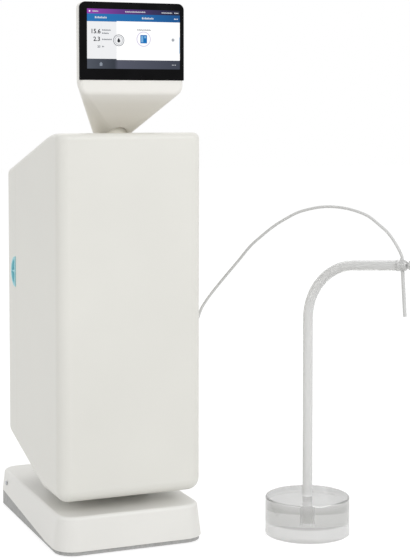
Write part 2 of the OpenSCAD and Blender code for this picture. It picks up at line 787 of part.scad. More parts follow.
module internal_tubes() color(clear_grey) {
    r = 2.5;
    back = column_rear - 18;
    left = pump_x + 24;
    tube_run([[fitting_xs[0], back, panel_z], [fitting_xs[0], -12, panel_z], [left, -25, 86],
        [left, -25, pump_head_z + 38], [pump_x, pump_y, pump_head_z + 38],
        [pump_x, pump_y, pump_head_z + 29]], r);
    tube_run([[pump_x, chassis_y, pump_head_z + 12], [pump_x, -11, pump_head_z + 12],
        [pump_x + 4, -11, pump_head_z + 24], [pump_x + 4, -11, head_block_z]], r);
    tube_run([[uv_x, -11, head_block_z], [uv_x, -11, 338], [uv_x, uv_y + 12, 338],
        [uv_x - 11, uv_y, 324], [uv_x - 11, uv_y, uv_z + uv_h + 5]], r);
    tube_run([[uv_x - 11, uv_y, uv_z - 5], [uv_x - 11, uv_y, 148], [meter_x, outlet_y, 148],
        [meter_x, outlet_y, block_z]], r);
    tube_run([[valve_x + 20, outlet_y, outlet_z], [inner_x - 8, outlet_y, outlet_z]], r);
    tube_run([[fitting_xs[1], back, panel_z], [fitting_xs[1], back - 10, panel_z],
        [fitting_xs[1] - 9, 0, panel_z], [34, -8, 110], [34, -8, head_block_z + 13],
        [10, -8, head_block_z + 13]], r);
}

// ---------------------------------------------------------------- cartridge

module cartridge_head() color(acetal) difference() {
    union() {
        block(-50, 10, chassis_back, 58, head_block_z, head_block_z + head_block_h);
        rod_z(cart_x, cart_y, head_block_z - 10, head_block_z, 16);
        rod_z(cart_x, cart_y, head_block_z - 11.4, head_block_z - 10, 17.5);
    }
    rod_z(cart_x, cart_y, head_block_z - 12, head_block_z + 8, neck_seat_r);
}

module lock_collar() color(pull_blue) translate([cart_x, cart_y, head_block_z - 9.8]) difference() {
    union() {
        cylinder(r = 23, h = 9.5);
        for (a = [0:45:315]) rotate([0, 0, a]) translate([23, 0, 0]) cylinder(r = 2.5, h = 9.5);
    }
    translate([0, 0, -cut]) cylinder(r = 16 + running_gap, h = 12);
}

module purification_cartridge() color(off_white) translate([cart_x, cart_y, cart_z]) rotate_extrude() {
    square([cartridge_r - 8, cartridge_h]);
    translate([0, 8]) square([cartridge_r, cartridge_h - 8]);
    translate([cartridge_r - 8, 8]) circle(8);
    translate([0, cartridge_h]) intersection() {
        translate([cartridge_r - cart_shoulder, 0]) circle(cart_shoulder);
        square([cartridge_r, cart_shoulder]);
    }
    translate([0, cartridge_h]) square([cartridge_r - cart_shoulder, cart_shoulder]);
    translate([0, cartridge_h - 30]) square([cartridge_r + 1.5, 22]);
    square([neck_seat_r, head_block_z + 8 - cart_z]);
}

module cartridge_cradle() color(steel) {
    block(-50, 10, chassis_back, 58, cart_z - 3, cart_z);
    block(-50, 10, chassis_back, chassis_back + 3, cart_z - 32, cart_z);
    for (x = [-50, 7]) translate([x, 0, 0]) rotate([90, 0, 90]) linear_extrude(3)
        polygon([[chassis_back, cart_z - 30], [chassis_back, cart_z - 2], [50, cart_z - 2]]);
}

// ---------------------------------------------------------------- display head

module head_form(inset = 0) {
    half = glass_w / 2;
    back = head_front + head_t;
    hull() {
        for (side = [-1, 1]) {
            translate([side * (half - head_corner), head_front + inset, head_top - head_corner])
                rotate([-90, 0, 0]) cylinder(r = head_corner - inset, h = 1, $fn = edge_fn);
            translate([side * (half - head_corner), back - 3.5, head_top - head_corner])
                rotate([90, 0, 0]) edge_disc(head_corner - inset, 3.5 - inset);
            translate([side * (half - chin_corner), head_front + 5, chin_z + chin_corner])
                rotate([90, 0, 0]) edge_disc(chin_corner - inset, 5 - inset);
            translate([side * (half - chin_corner), back - 5, chin_z + chin_corner + 4])
                rotate([90, 0, 0]) edge_disc(chin_corner - inset, 5 - inset);
        }
        translate([0, swivel_y, neck_z]) cylinder(r = neck_r - inset, h = 11, $fn = edge_fn);
    }
}

module head_shell() color(cream) difference() {
    head_form();
    difference() {
        head_form(head_wall);
        block(-glass_w, glass_w, head_front, 0, web_z, web_z + web_t);
    }
    rod_z(0, swivel_y, web_z - cut, web_z + web_t + cut, spindle_r);
    block(-glass_w, glass_w, head_front - cut, glass_y + glass_t, glass_z, head_top + cut);
    block(-58, 58, head_front - cut, head_front + 6, glass_z, head_top - 4);
    rod_z(0, swivel_y, neck_z - cut, web_z - 1, neck_r - head_wall);
    rod_y(0, swivel_y - 2 * neck_r, swivel_y, arch_z, arch_r);
}

// Rounded at its top corners, square at its lower ones
module touch_glass() color(glass_black) {
    half = glass_w / 2;
    translate([0, glass_y + glass_t, 0]) rotate([90, 0, 0]) linear_extrude(glass_t) {
        translate([-half, glass_z]) square([glass_w, glass_h - head_corner]);
        translate([head_corner - half, glass_z]) square([glass_w - 2 * head_corner, glass_h]);
        for (side = [-1, 1]) translate([side * (half - head_corner), head_top - head_corner])
            circle(head_corner);
    }
}

lcd_back = glass_y + glass_t + 6;

module lcd_module() color(dark_steel)
    block(lcd_x - 56.5, lcd_x + 56.5, glass_y + glass_t, lcd_back, glass_z + 9.3, glass_z + 80.5);

module display_board() color(board_green) {
    block(-50, 50, lcd_back + 2.5, lcd_back + 4.1, glass_z + 16, glass_z + 70);
    for (x = [-46, 46], z = [20, 66]) rod_y(x, lcd_back, lcd_back + 2.5, glass_z + z, 2.5);
    color(rubber_black) block(-12, 8, lcd_back + 4.1, lcd_back + 6, glass_z + 34, glass_z + 54);
}

module swivel_spindle() color(steel) translate([0, swivel_y, 0]) difference() {
    union() {
        rod_z(0, 0, flange_z - 6, web_z + web_t + 10, spindle_r);
        rod_z(0, 0, web_z - bush_rim + 0.1, web_z, 12);
    }
    rod_z(0, 0, flange_z - 6 - cut, web_z + web_t + 10 + cut, 5);
    difference() {
        rod_z(0, 0, flange_z - 1.9, flange_z - 0.2, spindle_r + cut);
        rod_z(0, 0, flange_z - 2.5, flange_z + 1, 7);
    }
}

module spindle_nut() color(brass) translate([0, swivel_y, web_z + web_t]) difference() {
    cylinder(r = 13, h = 6, $fn = 6);
    translate([0, 0, -cut]) cylinder(r = spindle_r, h = 8);
}

module retaining_ring() color(dark_steel) translate([0, swivel_y, flange_z - 1.8]) difference() {
    cylinder(r = 12, h = 1.5);
    translate([0, 0, -cut]) cylinder(r = 7, h = 4);
    translate([-2.5, 0, -cut]) cube([5, 20, 4]);
}

// ---------------------------------------------------------------- stand

function bend_out() = bend_r * (1 - cos(bend_turn));
function bend_up() = bend_z + bend_r * sin(bend_turn);

// Frame with its X along the arm, from the end of the bend
module on_arm() translate([stand_x, stand_y, 0]) rotate([0, 0, arm_yaw])
    translate([bend_out(), 0, bend_up()]) rotate([0, -arm_tilt, 0]) children();

// The same place as a point: s along the arm, n square to it, upwards
function arm_point(s, n) = let (out = bend_out() + s * cos(arm_tilt) - n * sin(arm_tilt))
    [stand_x + out * cos(arm_yaw), stand_y + out * sin(arm_yaw), bend_up() + s * sin(arm_tilt) + n * cos(arm_tilt)];

pocket_h = 30;

module stand_disc() color(clear_grey) translate([stand_x, stand_y, 0]) rotate_extrude() {
    edge = 2;
    r = disc_d / 2;
    translate([rod_r, 0]) square([r - rod_r - edge, disc_h]);
    translate([rod_r, 0]) square([r - rod_r, disc_h - edge]);
    translate([r - edge, disc_h - edge]) circle(edge);
    square([rod_r + cut, disc_h - pocket_h]);
}

module stand_rod() color(clear_grey) {
    rod_z(stand_x, stand_y, disc_h - pocket_h, bend_z, rod_r);
    translate([stand_x, stand_y, bend_z]) rotate([0, 0, arm_yaw]) translate([bend_r, 0, 0])
        rotate([90, 0, 0]) mirror([1, 0, 0]) rotate_extrude(angle = bend_turn) translate([bend_r, 0]) circle(rod_r);
    on_arm() sphere(rod_r + 0.04);
    on_arm() difference() {
        translate([0.3, 0, 0]) rotate([0, 90, 0]) cylinder(r = rod_r, h = arm_len - holder_len - 0.3);
        translate([arm_len - holder_len - 8, 0, 0]) rotate([0, 90, 0]) cylinder(r = 2.5, h = 9);
    }
}

module tube_holder() color(clear_grey) on_arm() difference() {
    union() {
        translate([arm_len - holder_len, 0, 0]) rotate([0, 90, 0]) cylinder(r = holder_r, h = holder_len - holder_r);
        translate([arm_len - holder_r, 0, 0]) sphere(holder_r);
        translate([arm_len - holder_len - 8, 0, 0]) rotate([0, 90, 0]) cylinder(r = 2.5, h = 9);
    }
    translate([arm_len - bore_back, 0, -10]) cylinder(r = nozzle_d / 2, h = 20);
    translate([arm_len - bore_back, 0, 0]) rotate([0, 90, 0]) cylinder(r = screw_r + running_gap, h = 20);
}

module clamp_screw() color(clear_grey) on_arm() difference() {
    start = arm_len - bore_back + nozzle_d / 2 + 0.1;
    union() {
        translate([start, 0, 0]) rotate([0, 90, 0]) cylinder(r = screw_r, h = arm_len + 3 - start);
        translate([arm_len + 2, 0, 0]) rotate([0, 90, 0]) cylinder(r = knob_r, h = 9);
    }
    for (a = [0:30:330]) rotate([a, 0, 0]) translate([arm_len + 1, 0, knob_r + 0.4])
        rotate([0, 90, 0]) cylinder(r = 0.9, h = 12);
}

module nozzle_tube() color(clear_grey) on_arm() translate([arm_len - bore_back, 0, 0]) difference() {
    translate([0, 0, -holder_r - nozzle_drop]) cylinder(r = nozzle_d / 2, h = nozzle_drop + 2 * holder_r + 1.5);
    translate([0, 0, -holder_r - nozzle_drop - cut]) cylinder(r = 1, h = nozzle_drop + 2 * holder_r);
}

// ---------------------------------------------------------------- dispense tube

tube_end = arm_point(arm_len - bore_back, holder_r + 1.5);
tube_points = concat(tube_route, [arm_point(arm_len - bore_back, holder_r + 4), tube_end]);

// Point on the smooth curve through four neighbouring points
function curve_at(a, b, c, d, t) = 0.5 * (2 * b + (c - a) * t + (2 * a - 5 * b + 4 * c - d) * t * t
    + (3 * b - 3 * c + d - a) * t * t * t);

function curve(points, steps) = let (n = len(points)) concat(
    [for (i = [0:n - 2], k = [0:steps - 1])
        curve_at(points[max(i - 1, 0)], points[i], points[i + 1], points[min(i + 2, n - 1)], k / steps)],
    [points[n - 1]]);

function unit(v) = v / norm(v);

module swept_tube(path, r, sides, start_dir, end_dir) {
    n = len(path);
    rings = [for (i = [0:n - 1]) let (
        t = i == 0 ? start_dir : i == n - 1 ? end_dir : unit(path[i + 1] - path[i - 1]),
        u = unit(cross(t, tube_side_ref)),
        v = cross(t, u)
    ) for (k = [0:sides - 1]) path[i] + r * (cos(360 * k / sides) * u + sin(360 * k / sides) * v)];
    sides_faces = [for (i = [0:n - 2], k = [0:sides - 1]) let (
        a = i * sides + k,
        b = i * sides + (k + 1) % sides
    ) each [[a, b, a + sides], [b, b + sides, a + sides]]];
    caps = [for (k = [1:sides - 2]) each [[0, k + 1, k],
        [(n - 1) * sides, (n - 1) * sides + k, (n - 1) * sides + k + 1]]];
    polyhedron(rings, concat(sides_faces, caps));
}

module dispense_tube() color(clear_grey) swept_tube(curve(tube_points, tube_steps), tube_d / 2,
    tube_sides, [1, 0, 0], unit(tube_end - arm_point(arm_len - bore_back, holder_r + 4)));

// ---------------------------------------------------------------- what is drawn

rubber_feet();
base_tray();
ballast_plate();
base_cover();
base_bolts();
column();
housing_shell();
housing_screws();
chassis_plate();
turret();
swivel_bush();
small_screws();
power_board();
control_board();
board_standoffs();
pump_motor();
pump_head();
uv_chamber();
uv_lamp();
uv_clamps();
manifold_block();
dispense_valve();
flow_meter();
resistivity_cell();
outlet_fitting();
internal_tubes();
cartridge_head();
purification_cartridge();
cartridge_cradle();
door_magnets();
connection_panel();
power_jack();
switch_frame();
hose_fittings();
hinge_leaves();
hinge_pins();
stand_disc();
stand_rod();
tube_holder();
nozzle_tube();
dispense_tube();
head_shell();
touch_glass();
lcd_module();
display_board();
swivel_spindle();
spindle_nut();
retaining_ring();
service_door();
door_pull();
door_leaves();
magnet_plates();
pump_rotor();
flow_turbine();
valve_plunger();
lock_collar();
power_rocker();
clamp_screw();
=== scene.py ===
import json
import math

import bmesh
import bpy
from bpy.props import FloatProperty, FloatVectorProperty, IntProperty, PointerProperty, StringProperty
from mathutils import Matrix, Vector

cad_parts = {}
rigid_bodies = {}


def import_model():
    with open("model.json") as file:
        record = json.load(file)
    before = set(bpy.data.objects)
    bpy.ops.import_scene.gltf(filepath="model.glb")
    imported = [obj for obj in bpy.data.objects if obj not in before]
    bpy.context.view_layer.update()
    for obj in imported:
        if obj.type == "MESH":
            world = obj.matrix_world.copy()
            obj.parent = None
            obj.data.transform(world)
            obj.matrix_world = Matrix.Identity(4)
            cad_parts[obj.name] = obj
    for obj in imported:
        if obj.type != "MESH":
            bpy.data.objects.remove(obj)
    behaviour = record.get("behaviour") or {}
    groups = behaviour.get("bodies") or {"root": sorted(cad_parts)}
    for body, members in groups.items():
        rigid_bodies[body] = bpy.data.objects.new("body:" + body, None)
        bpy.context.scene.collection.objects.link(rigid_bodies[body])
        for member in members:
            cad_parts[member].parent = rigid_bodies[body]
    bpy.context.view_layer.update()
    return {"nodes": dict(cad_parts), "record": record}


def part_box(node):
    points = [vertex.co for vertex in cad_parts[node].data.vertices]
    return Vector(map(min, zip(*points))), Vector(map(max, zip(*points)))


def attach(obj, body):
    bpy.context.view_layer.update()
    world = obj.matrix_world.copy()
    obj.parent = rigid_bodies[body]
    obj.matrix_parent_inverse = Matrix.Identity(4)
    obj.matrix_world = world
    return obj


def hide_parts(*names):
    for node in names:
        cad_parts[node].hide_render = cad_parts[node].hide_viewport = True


bl_info = {
    "name": "Bench Water Unit",
    "version": (1, 0, 0),
    "blender": (4, 5, 0),
    "location": "View3D > Sidebar > Water Unit",
    "description": "Covers, display, clear stand and insides of a bench-top water unit",
    "category": "Object",
}

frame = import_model()
MM = 0.001

NODES = frame["nodes"]
BODY_OF = {
    node: body for body, members in frame["record"]["behaviour"]["bodies"].items() for node in members
}
SLOT_OF = {part["node"]: part["material_slot"] for part in frame["record"]["subparts"]}


# ---- colours


def linear(code):
    """A colour written as six hex digits, as the linear values that shaders take."""
    parts = [int(code[i:i + 2], 16) / 255 for i in (0, 2, 4)]
    return tuple(c / 12.92 if c <= 0.04045 else ((c + 0.055) / 1.055) ** 2.4 for c in parts) + (1.0,)


def colour_prop(name, description, code):
    return FloatVectorProperty(
        name=name, description=description, subtype="COLOR", size=4, min=0.0, max=1.0, default=linear(code)
    )


def length_prop(name, description, default, low, high):
    return FloatProperty(name=name, description=description, default=default, min=low, max=high, unit="LENGTH")


# ---- settings


class WaterUnitCovers(bpy.types.PropertyGroup):
    """Colours and finish of the moulded covers."""

    cream: colour_prop("Cream", "Tower and door", "E6E5DF")
    # Painted light: the head's cream is warmed for light bounced up onto its underside, and the chin's cream is paler
    # for light falling on its front
    head_cream: colour_prop("Head cream", "Display head, below its chin", "E7E3DA")
    painted_lit_chin_cream: colour_prop("Chin cream", "Display head, from its chin up", "EDEBE6")
    # Painted light: the turret's cream is paler to brighten the dome in the shade under the head
    turret_cream: colour_prop("Turret cream", "Dome under the head", "F6F2E6")
    base_white: colour_prop("Base white", "Flared base cover", "ECEBE7")
    tray_grey: colour_prop("Tray grey", "Grained ring under the base cover", "B1B1B0")
    pull_teal: colour_prop("Pull teal", "Door pull and other coloured parts", "9AD8E1")
    grain: length_prop("Grain depth", "Depth of the moulded grain", 0.00006, 0.0, 0.001)
    soft_edge: length_prop("Soft edge", "Radius broken onto sharp edges", 0.0004, 0.0, 0.002)


class WaterUnitScreen(bpy.types.PropertyGroup):
    """What the display shows, and how brightly."""

    glow: FloatProperty(name="Glow", description="Strength of the lit picture", default=0.86, min=0.0, max=3.0)
    upper_reading: StringProperty(name="Upper reading", description="Larger number shown on the left", default="15.6")
    lower_reading: StringProperty(name="Lower reading", description="Number under it", default="2.3")
    small_reading: StringProperty(name="Small reading", description="Smallest number", default="20")


class WaterUnitClear(bpy.types.PropertyGroup):
    """Clear stand and tubing."""

    # Painted light and shade: the disc's tints by height, paler near the bench, darker half way up, paler near its
    # top
    disc_low_painted_shading: colour_prop("Disc, low", "Tint of the clear disc near the bench", "F0F0EF")
    disc_middle_painted_shading: colour_prop("Disc, middle", "Tint of the clear disc half way up", "C0C0BE")
    disc_high_painted_shading: colour_prop("Disc, high", "Tint of the clear disc near its top", "DADAD9")
    rod: colour_prop("Rod", "Tint of the upright rod", "ECECEB")
    arm: colour_prop("Arm", "Tint of the rod past its bend", "E7E7E6")
    tubing: colour_prop("Tubing", "Tint of the tubing", "DEDEDD")
    tube_diameter: length_prop("Tube diameter", "Outer diameter of the dispense tube", 0.0032, 0.002, 0.006)


class WaterUnitInside(bpy.types.PropertyGroup):
    """Parts behind the covers."""

    board: colour_prop("Board", "Circuit boards", "1F6A4A")
    rib_count: IntProperty(name="Motor ribs", description="Ribs round the pump motor", default=36, min=8, max=60)
    grip_count: IntProperty(
        name="Grip ribs", description="Ribs round the cartridge's foot", default=72, min=12, max=120
    )
    chip_seed: IntProperty(name="Chip seed", description="Seed for the small parts on the boards", default=7)


class WaterUnitStage(bpy.types.PropertyGroup):
    """Floor, light and camera."""

    camera_place: FloatVectorProperty(
        name="Camera place", description="Where the camera stands", default=(-0.54645, -1.65711, 0.49411),
        subtype="TRANSLATION", unit="LENGTH",
    )
    camera_turn: FloatProperty(
        name="Camera turn", description="Turn of the camera about the upright axis", default=math.radians(-22.4968),
        unit="ROTATION",
    )
    camera_dip: FloatProperty(
        name="Camera dip", description="How far the camera looks down", default=math.radians(2.5), unit="ROTATION",
    )
    lens: FloatProperty(name="Lens", description="Focal length in millimetres", default=94.638)
    rise: FloatProperty(name="Shift", description="Upward shift of the lens", default=-0.1963)
    ambient: FloatProperty(name="Ambient", description="Strength of the plain surrounding light", default=0.65)


# ---- shader maths


class Value:
    """A shader socket that can be used in sums."""

    def __init__(self, finish, socket):
        self.finish = finish
        self.socket = socket

    def _math(self, operation, first, second):
        return self.finish.node("ShaderNodeMath", {"operation": operation}, {0: first, 1: second})[0]

    def __add__(self, other):
        return self._math("ADD", self, other)

    def __mul__(self, other):
        return self._math("MULTIPLY", self, other)

    def __sub__(self, other):
        return self._math("SUBTRACT", self, other)

    def __rsub__(self, other):
        return self._math("SUBTRACT", other, self)

    def __lt__(self, other):
        return self._math("LESS_THAN", self, other)


class Made:
    """A shader node whose outputs are read by place or by name."""

    def __init__(self, finish, node):
        self.finish = finish
        self.made = node

    def __getitem__(self, key):
        return Value(self.finish, self.made.outputs[key])


class Finish:
    """A material in the making, on one Principled shader."""

    def __init__(self, name, colour, roughness=0.5, **fixed):
        self.material = bpy.data.materials.new(name)
        self.material.use_nodes = True
        self.tree = self.material.node_tree
        self.tree.nodes.clear()
        self.shader = self.node("ShaderNodeBsdfPrincipled", {}, {"Base Color": colour, "Roughness": roughness})
        for key, value in fixed.items():
            self.shader.made.inputs[key.replace("_", " ").title().replace("Ior", "IOR")].default_value = value
        self.node("ShaderNodeOutputMaterial", {}, {0: self.shader[0]})

    def node(self, kind, settings, sockets):
        """Makes a node: its settings are set first, then the values or links of its sockets."""
        made = self.tree.nodes.new(kind)
        for key, value in settings.items():
            if key == "stops":
                ramp = made.color_ramp
                while len(ramp.elements) < len(value):
                    ramp.elements.new(0.5)
                for element, (place, colour) in zip(ramp.elements, value):
                    element.position = place
                    element.color = colour
            else:
                setattr(made, key, value)
        for key, value in sockets.items():
            if isinstance(value, Value):
                self.tree.links.new(value.socket, made.inputs[key])
            else:
                made.inputs[key].default_value = value
        return Made(self, made)

    def feed(self, name, value):
        """Links a value to one of the shader's sockets."""
        self.tree.links.new(value.socket, self.shader.made.inputs[name])
        return self

    def place(self, scale=(1.0, 1.0, 1.0), turn=(0.0, 0.0, 0.0)):
        """Object coordinates, stretched and turned."""
        spot = self.node("ShaderNodeTexCoord", {}, {})["Object"]
        return self.node("ShaderNodeMapping", {}, {"Vector": spot, "Scale": scale, "Rotation": turn})[0]

    def along(self, axis, low, high):
        """Runs from 0 to 1 between two places on one of the object's axes."""
        spot = self.node("ShaderNodeSeparateXYZ", {}, {"Vector": self.place()})[axis]
        return self.node("ShaderNodeMapRange", {}, {"Value": spot, "From Min": low, "From Max": high})[0]

    def noise(self, scale, detail=3.0, where=None):
        where = where or self.place()
        return self.node("ShaderNodeTexNoise", {}, {"Vector": where, "Scale": scale, "Detail": detail})["Fac"]

    def cells(self, scale):
        sockets = {"Vector": self.place(), "Scale": scale}
        return self.node("ShaderNodeTexVoronoi", {"feature": "F1"}, sockets)["Distance"]

    def blend(self, factor, first, second, way="MIX"):
        settings = {"data_type": "RGBA", "blend_type": way}
        return self.node("ShaderNodeMix", settings, {"Factor": factor, 6: first, 7: second})[2]

    def mottle(self, noise, colour, dark, pale):
        """The colour, made darker and paler by a noise."""
        return self.blend(self.spread(noise, 0.0, 1.0), shade(colour, dark), shade(colour, pale))

    def ramp(self, factor, stops):
        return self.node("ShaderNodeValToRGB", {"stops": stops}, {0: factor})[0]

    def spread(self, value, low, high):
        """The value's middle range, stretched to run from low to high."""
        sockets = {"Value": value, "From Min": 0.3, "From Max": 0.7, "To Min": low, "To Max": high}
        return self.node("ShaderNodeMapRange", {}, sockets)[0]

    def bump(self, height, distance, strength=1.0):
        made = self.node("ShaderNodeBump", {}, {"Height": height, "Distance": distance, "Strength": strength})
        return self.feed("Normal", made[0])


def shade(colour, factor):
    """A colour made lighter or darker."""
    return tuple(min(1.0, c * factor) for c in colour[:3]) + (1.0,)


# ---- finishes

# Heights above the bench for the head's painted light and shade: painted shade darkens it up its neck to the chin's
# ridge, and from the ridge up a paler tone is painted light
PAINTED_SHADE_HEIGHTS = (0.455, 0.49)
PAINTED_LIGHT_HEIGHTS = (0.496, 0.512)


def moulded(name, colour, roughness, grain, coarse=900.0, mottle=0.02, painted_lit_chin_tone=None, glow=0.0):
    """Satin moulded plastic: a fine grain, and a slow drift of tone and gloss.

    The chin tone is painted light, a paler tone on the chin and above, and painted shade darkens the head below it up
    to the chin's ridge; glow is painted light, an emission from plastic that is no lamp.
    """
    made = Finish(
        name, colour, roughness, coat_roughness=0.3, specular_ior_level=0.45, emission_color=colour,
        emission_strength=glow,
    )
    slow = made.noise(7.0, 2.0)
    fine = made.noise(coarse, 2.0)
    drift = made.spread(slow, 1 - mottle, 1 + mottle)
    tone = colour
    if painted_lit_chin_tone:
        # Painted shade under the chin's ridge, then a paler painted-lit tone from the ridge up
        painted_shade_under_chin = made.blend(made.along("Z", *PAINTED_SHADE_HEIGHTS), colour, shade(colour, 0.9))
        tone = made.blend(made.along("Z", *PAINTED_LIGHT_HEIGHTS), painted_shade_under_chin, painted_lit_chin_tone)
    grey = made.node("ShaderNodeCombineColor", {}, {0: drift, 1: drift, 2: drift})[0]
    made.feed("Base Color", made.blend(1.0, tone, grey, "MULTIPLY"))
    made.feed("Roughness", made.spread(slow, roughness - 0.03, roughness + 0.04) + (fine - 0.5) * 0.08)
    made.bump(fine, grain, 0.5)
    return made.material


def grained(name, colour, grain):
    """Coarse spark-eroded plastic, as on the ring under the base."""
    made = Finish(name, colour, 0.6, specular_ior_level=0.35)
    pits = made.cells(620.0)
    drift = made.noise(260.0, 4.0)
    made.feed("Base Color", made.mottle(drift, colour, 0.86, 1.14))
    made.feed("Roughness", made.spread(drift, 0.52, 0.68))
    made.bump(pits + drift * 0.6, grain * 4, 0.7)
    return made.material


def acrylic(name, bands, roughness=0.02, painted_edge_shade=0.62, clearness=1.0, painted_glow_below=None):
    """Clear cast acrylic: its tint is painted light and shade by height above the bench, and painted shade greys it
    where it turns away.

    Below the given height it has a painted glow, an emission standing in for light.
    """
    low, high = bands[0][0], bands[-1][0]
    made = Finish(
        name, bands[0][1], roughness, ior=1.49, transmission_weight=clearness, emission_strength=1.0 if painted_glow_below else 0.0
    )
    haze = made.noise(90.0, 4.0)
    # Painted light: a grey glow below the given height
    if painted_glow_below:
        above = made.along("Z", painted_glow_below - MM, painted_glow_below + MM)
        made.feed("Emission Color", made.blend(above, linear("9A9A9A"), linear("000000")))
    tint = made.ramp(made.along("Z", low, high), [((z - low) / (high - low), colour) for z, colour in bands])
    # Painted shade: the tint darkens where the surface turns away from the camera
    facing = made.node("ShaderNodeLayerWeight", {}, {"Blend": 0.35})["Facing"]
    made.feed("Base Color", made.blend(facing * facing, tint, (painted_edge_shade, painted_edge_shade, painted_edge_shade, 1.0), "MULTIPLY"))
    made.feed("Roughness", made.spread(haze, roughness * 0.25, roughness))
    return made.material


def tubing(name, colour, clearness):
    """Milky soft tubing, with painted shade along its edges."""
    made = Finish(name, colour, 0.28, ior=1.36, transmission_weight=clearness, specular_ior_level=0.3)
    haze = made.noise(45.0, 2.0)
    facing = made.node("ShaderNodeLayerWeight", {}, {"Blend": 0.4})["Facing"]
    milky = made.mottle(haze, colour, 0.97, 1.03)
    # Painted shade: the tint darkens to 0.72 where the tube turns away from the camera
    made.feed("Base Color", made.blend(facing * facing, milky, shade(colour, 0.72)))
    made.feed("Roughness", made.spread(haze, 0.24, 0.34))
    return made.material


def metal(name, colour, roughness, stretch):
    """Drawn or brushed metal: streaks across the upright axis."""
    made = Finish(name, colour, roughness, metallic=1.0)
    streak = made.noise(30.0, 4.0, made.place((1.0, 1.0, stretch)))
    cloud = made.noise(14.0, 2.0)
    made.feed("Base Color", made.mottle(cloud, colour, 0.92, 1.05))
    made.feed("Roughness", made.spread(streak, roughness - 0.06, roughness + 0.1))
    made.bump(streak, 0.00001, 0.5)
    return made.material


def coated(name, colour, roughness, depth):
    """Powder coating or rubber: fine orange peel."""
    made = Finish(name, colour, roughness)
    peel = made.noise(700.0, 3.0)
    cloud = made.noise(20.0, 2.0)
    made.feed("Base Color", made.mottle(cloud, colour, 0.85, 1.2))
    made.feed("Roughness", made.spread(peel, roughness - 0.06, roughness + 0.08))
    made.bump(peel, depth, 0.6)
    return made.material


def circuit(name, colour):
    """Green board with paler tracks and plated spots."""
    made = Finish(name, colour, 0.35, specular_ior_level=0.6)
    tracks = made.node(
        "ShaderNodeTexBrick", {"offset": 0.37, "squash": 1.6},
        {"Vector": made.place((1.0, 1.0, 1.0), (math.pi / 2, 0.0, 0.0)), "Scale": 70.0, "Mortar Size": 0.045,
         "Row Height": 0.16, "Brick Width": 0.7, "Mortar Smooth": 0.1},
    )["Fac"]
    spots = made.cells(260.0) < 0.12
    with_tracks = made.blend(tracks * 0.7, colour, shade(colour, 2.4))
    made.feed("Base Color", made.blend(spots, with_tracks, linear("C9A65A")))
    made.feed("Metallic", spots * 0.9)
    made.feed("Roughness", 0.42 - tracks * 0.12)
    made.bump(tracks + spots, 0.00004, 0.6)
    return made.material


def display_glass(name):
    """Black-backed cover glass, polished, with a trace of touch marks."""
    made = Finish(name, linear("050506"), 0.1, specular_ior_level=0.07)
    marks = made.noise(45.0, 5.0)
    made.feed("Roughness", made.spread(marks, 0.08, 0.16))
    made.feed("Base Color", made.blend(made.spread(marks, 0.0, 1.0), linear("040405"), linear("08080A")))
    return made.material


def lit(name, colour, glow):
    """A flat lit colour under the display glass."""
    made = Finish(
        name, shade(colour, 0.1), 0.12, specular_ior_level=0.07, emission_color=colour, emission_strength=glow
    )
    faint = made.noise(900.0, 1.0)
    made.feed("Roughness", made.spread(faint, 0.08, 0.16))
    return made.material


def lit_ramp(name, stops, left, right, glow):
    """A lit colour that runs from left to right across the picture."""
    made = Finish(name, linear("08080A"), 0.12, specular_ior_level=0.07, emission_strength=glow)
    made.feed("Emission Color", made.ramp(made.along("X", left, right), stops))
    return made.material


# Name, colour, roughness and stretch of the streaks
METALS = {
    "steel_plain": ("drawn_sheet_steel", "B4B6B9", 0.36, 60.0),
    "steel_bright": ("polished_steel", "CCCED0", 0.2, 20.0),
    "brass_plain": ("turned_brass", "C79F52", 0.3, 40.0),
}
# Name, colour, roughness and depth of the peel
COATINGS = {
    "dark_metal": ("dark_coated_metal", "3A3D41", 0.5, 0.00005),
    "black_plastic": ("black_satin_plastic", "232427", 0.42, 0.00003),
    "rubber_black": ("black_rubber", "1C1C1E", 0.8, 0.00008),
}
FINISHES = {}


def finish(slot):
    """The material for a slot of the record, made once."""
    if slot not in FINISHES:
        FINISHES[slot] = make_finish(slot)
    return FINISHES[slot]


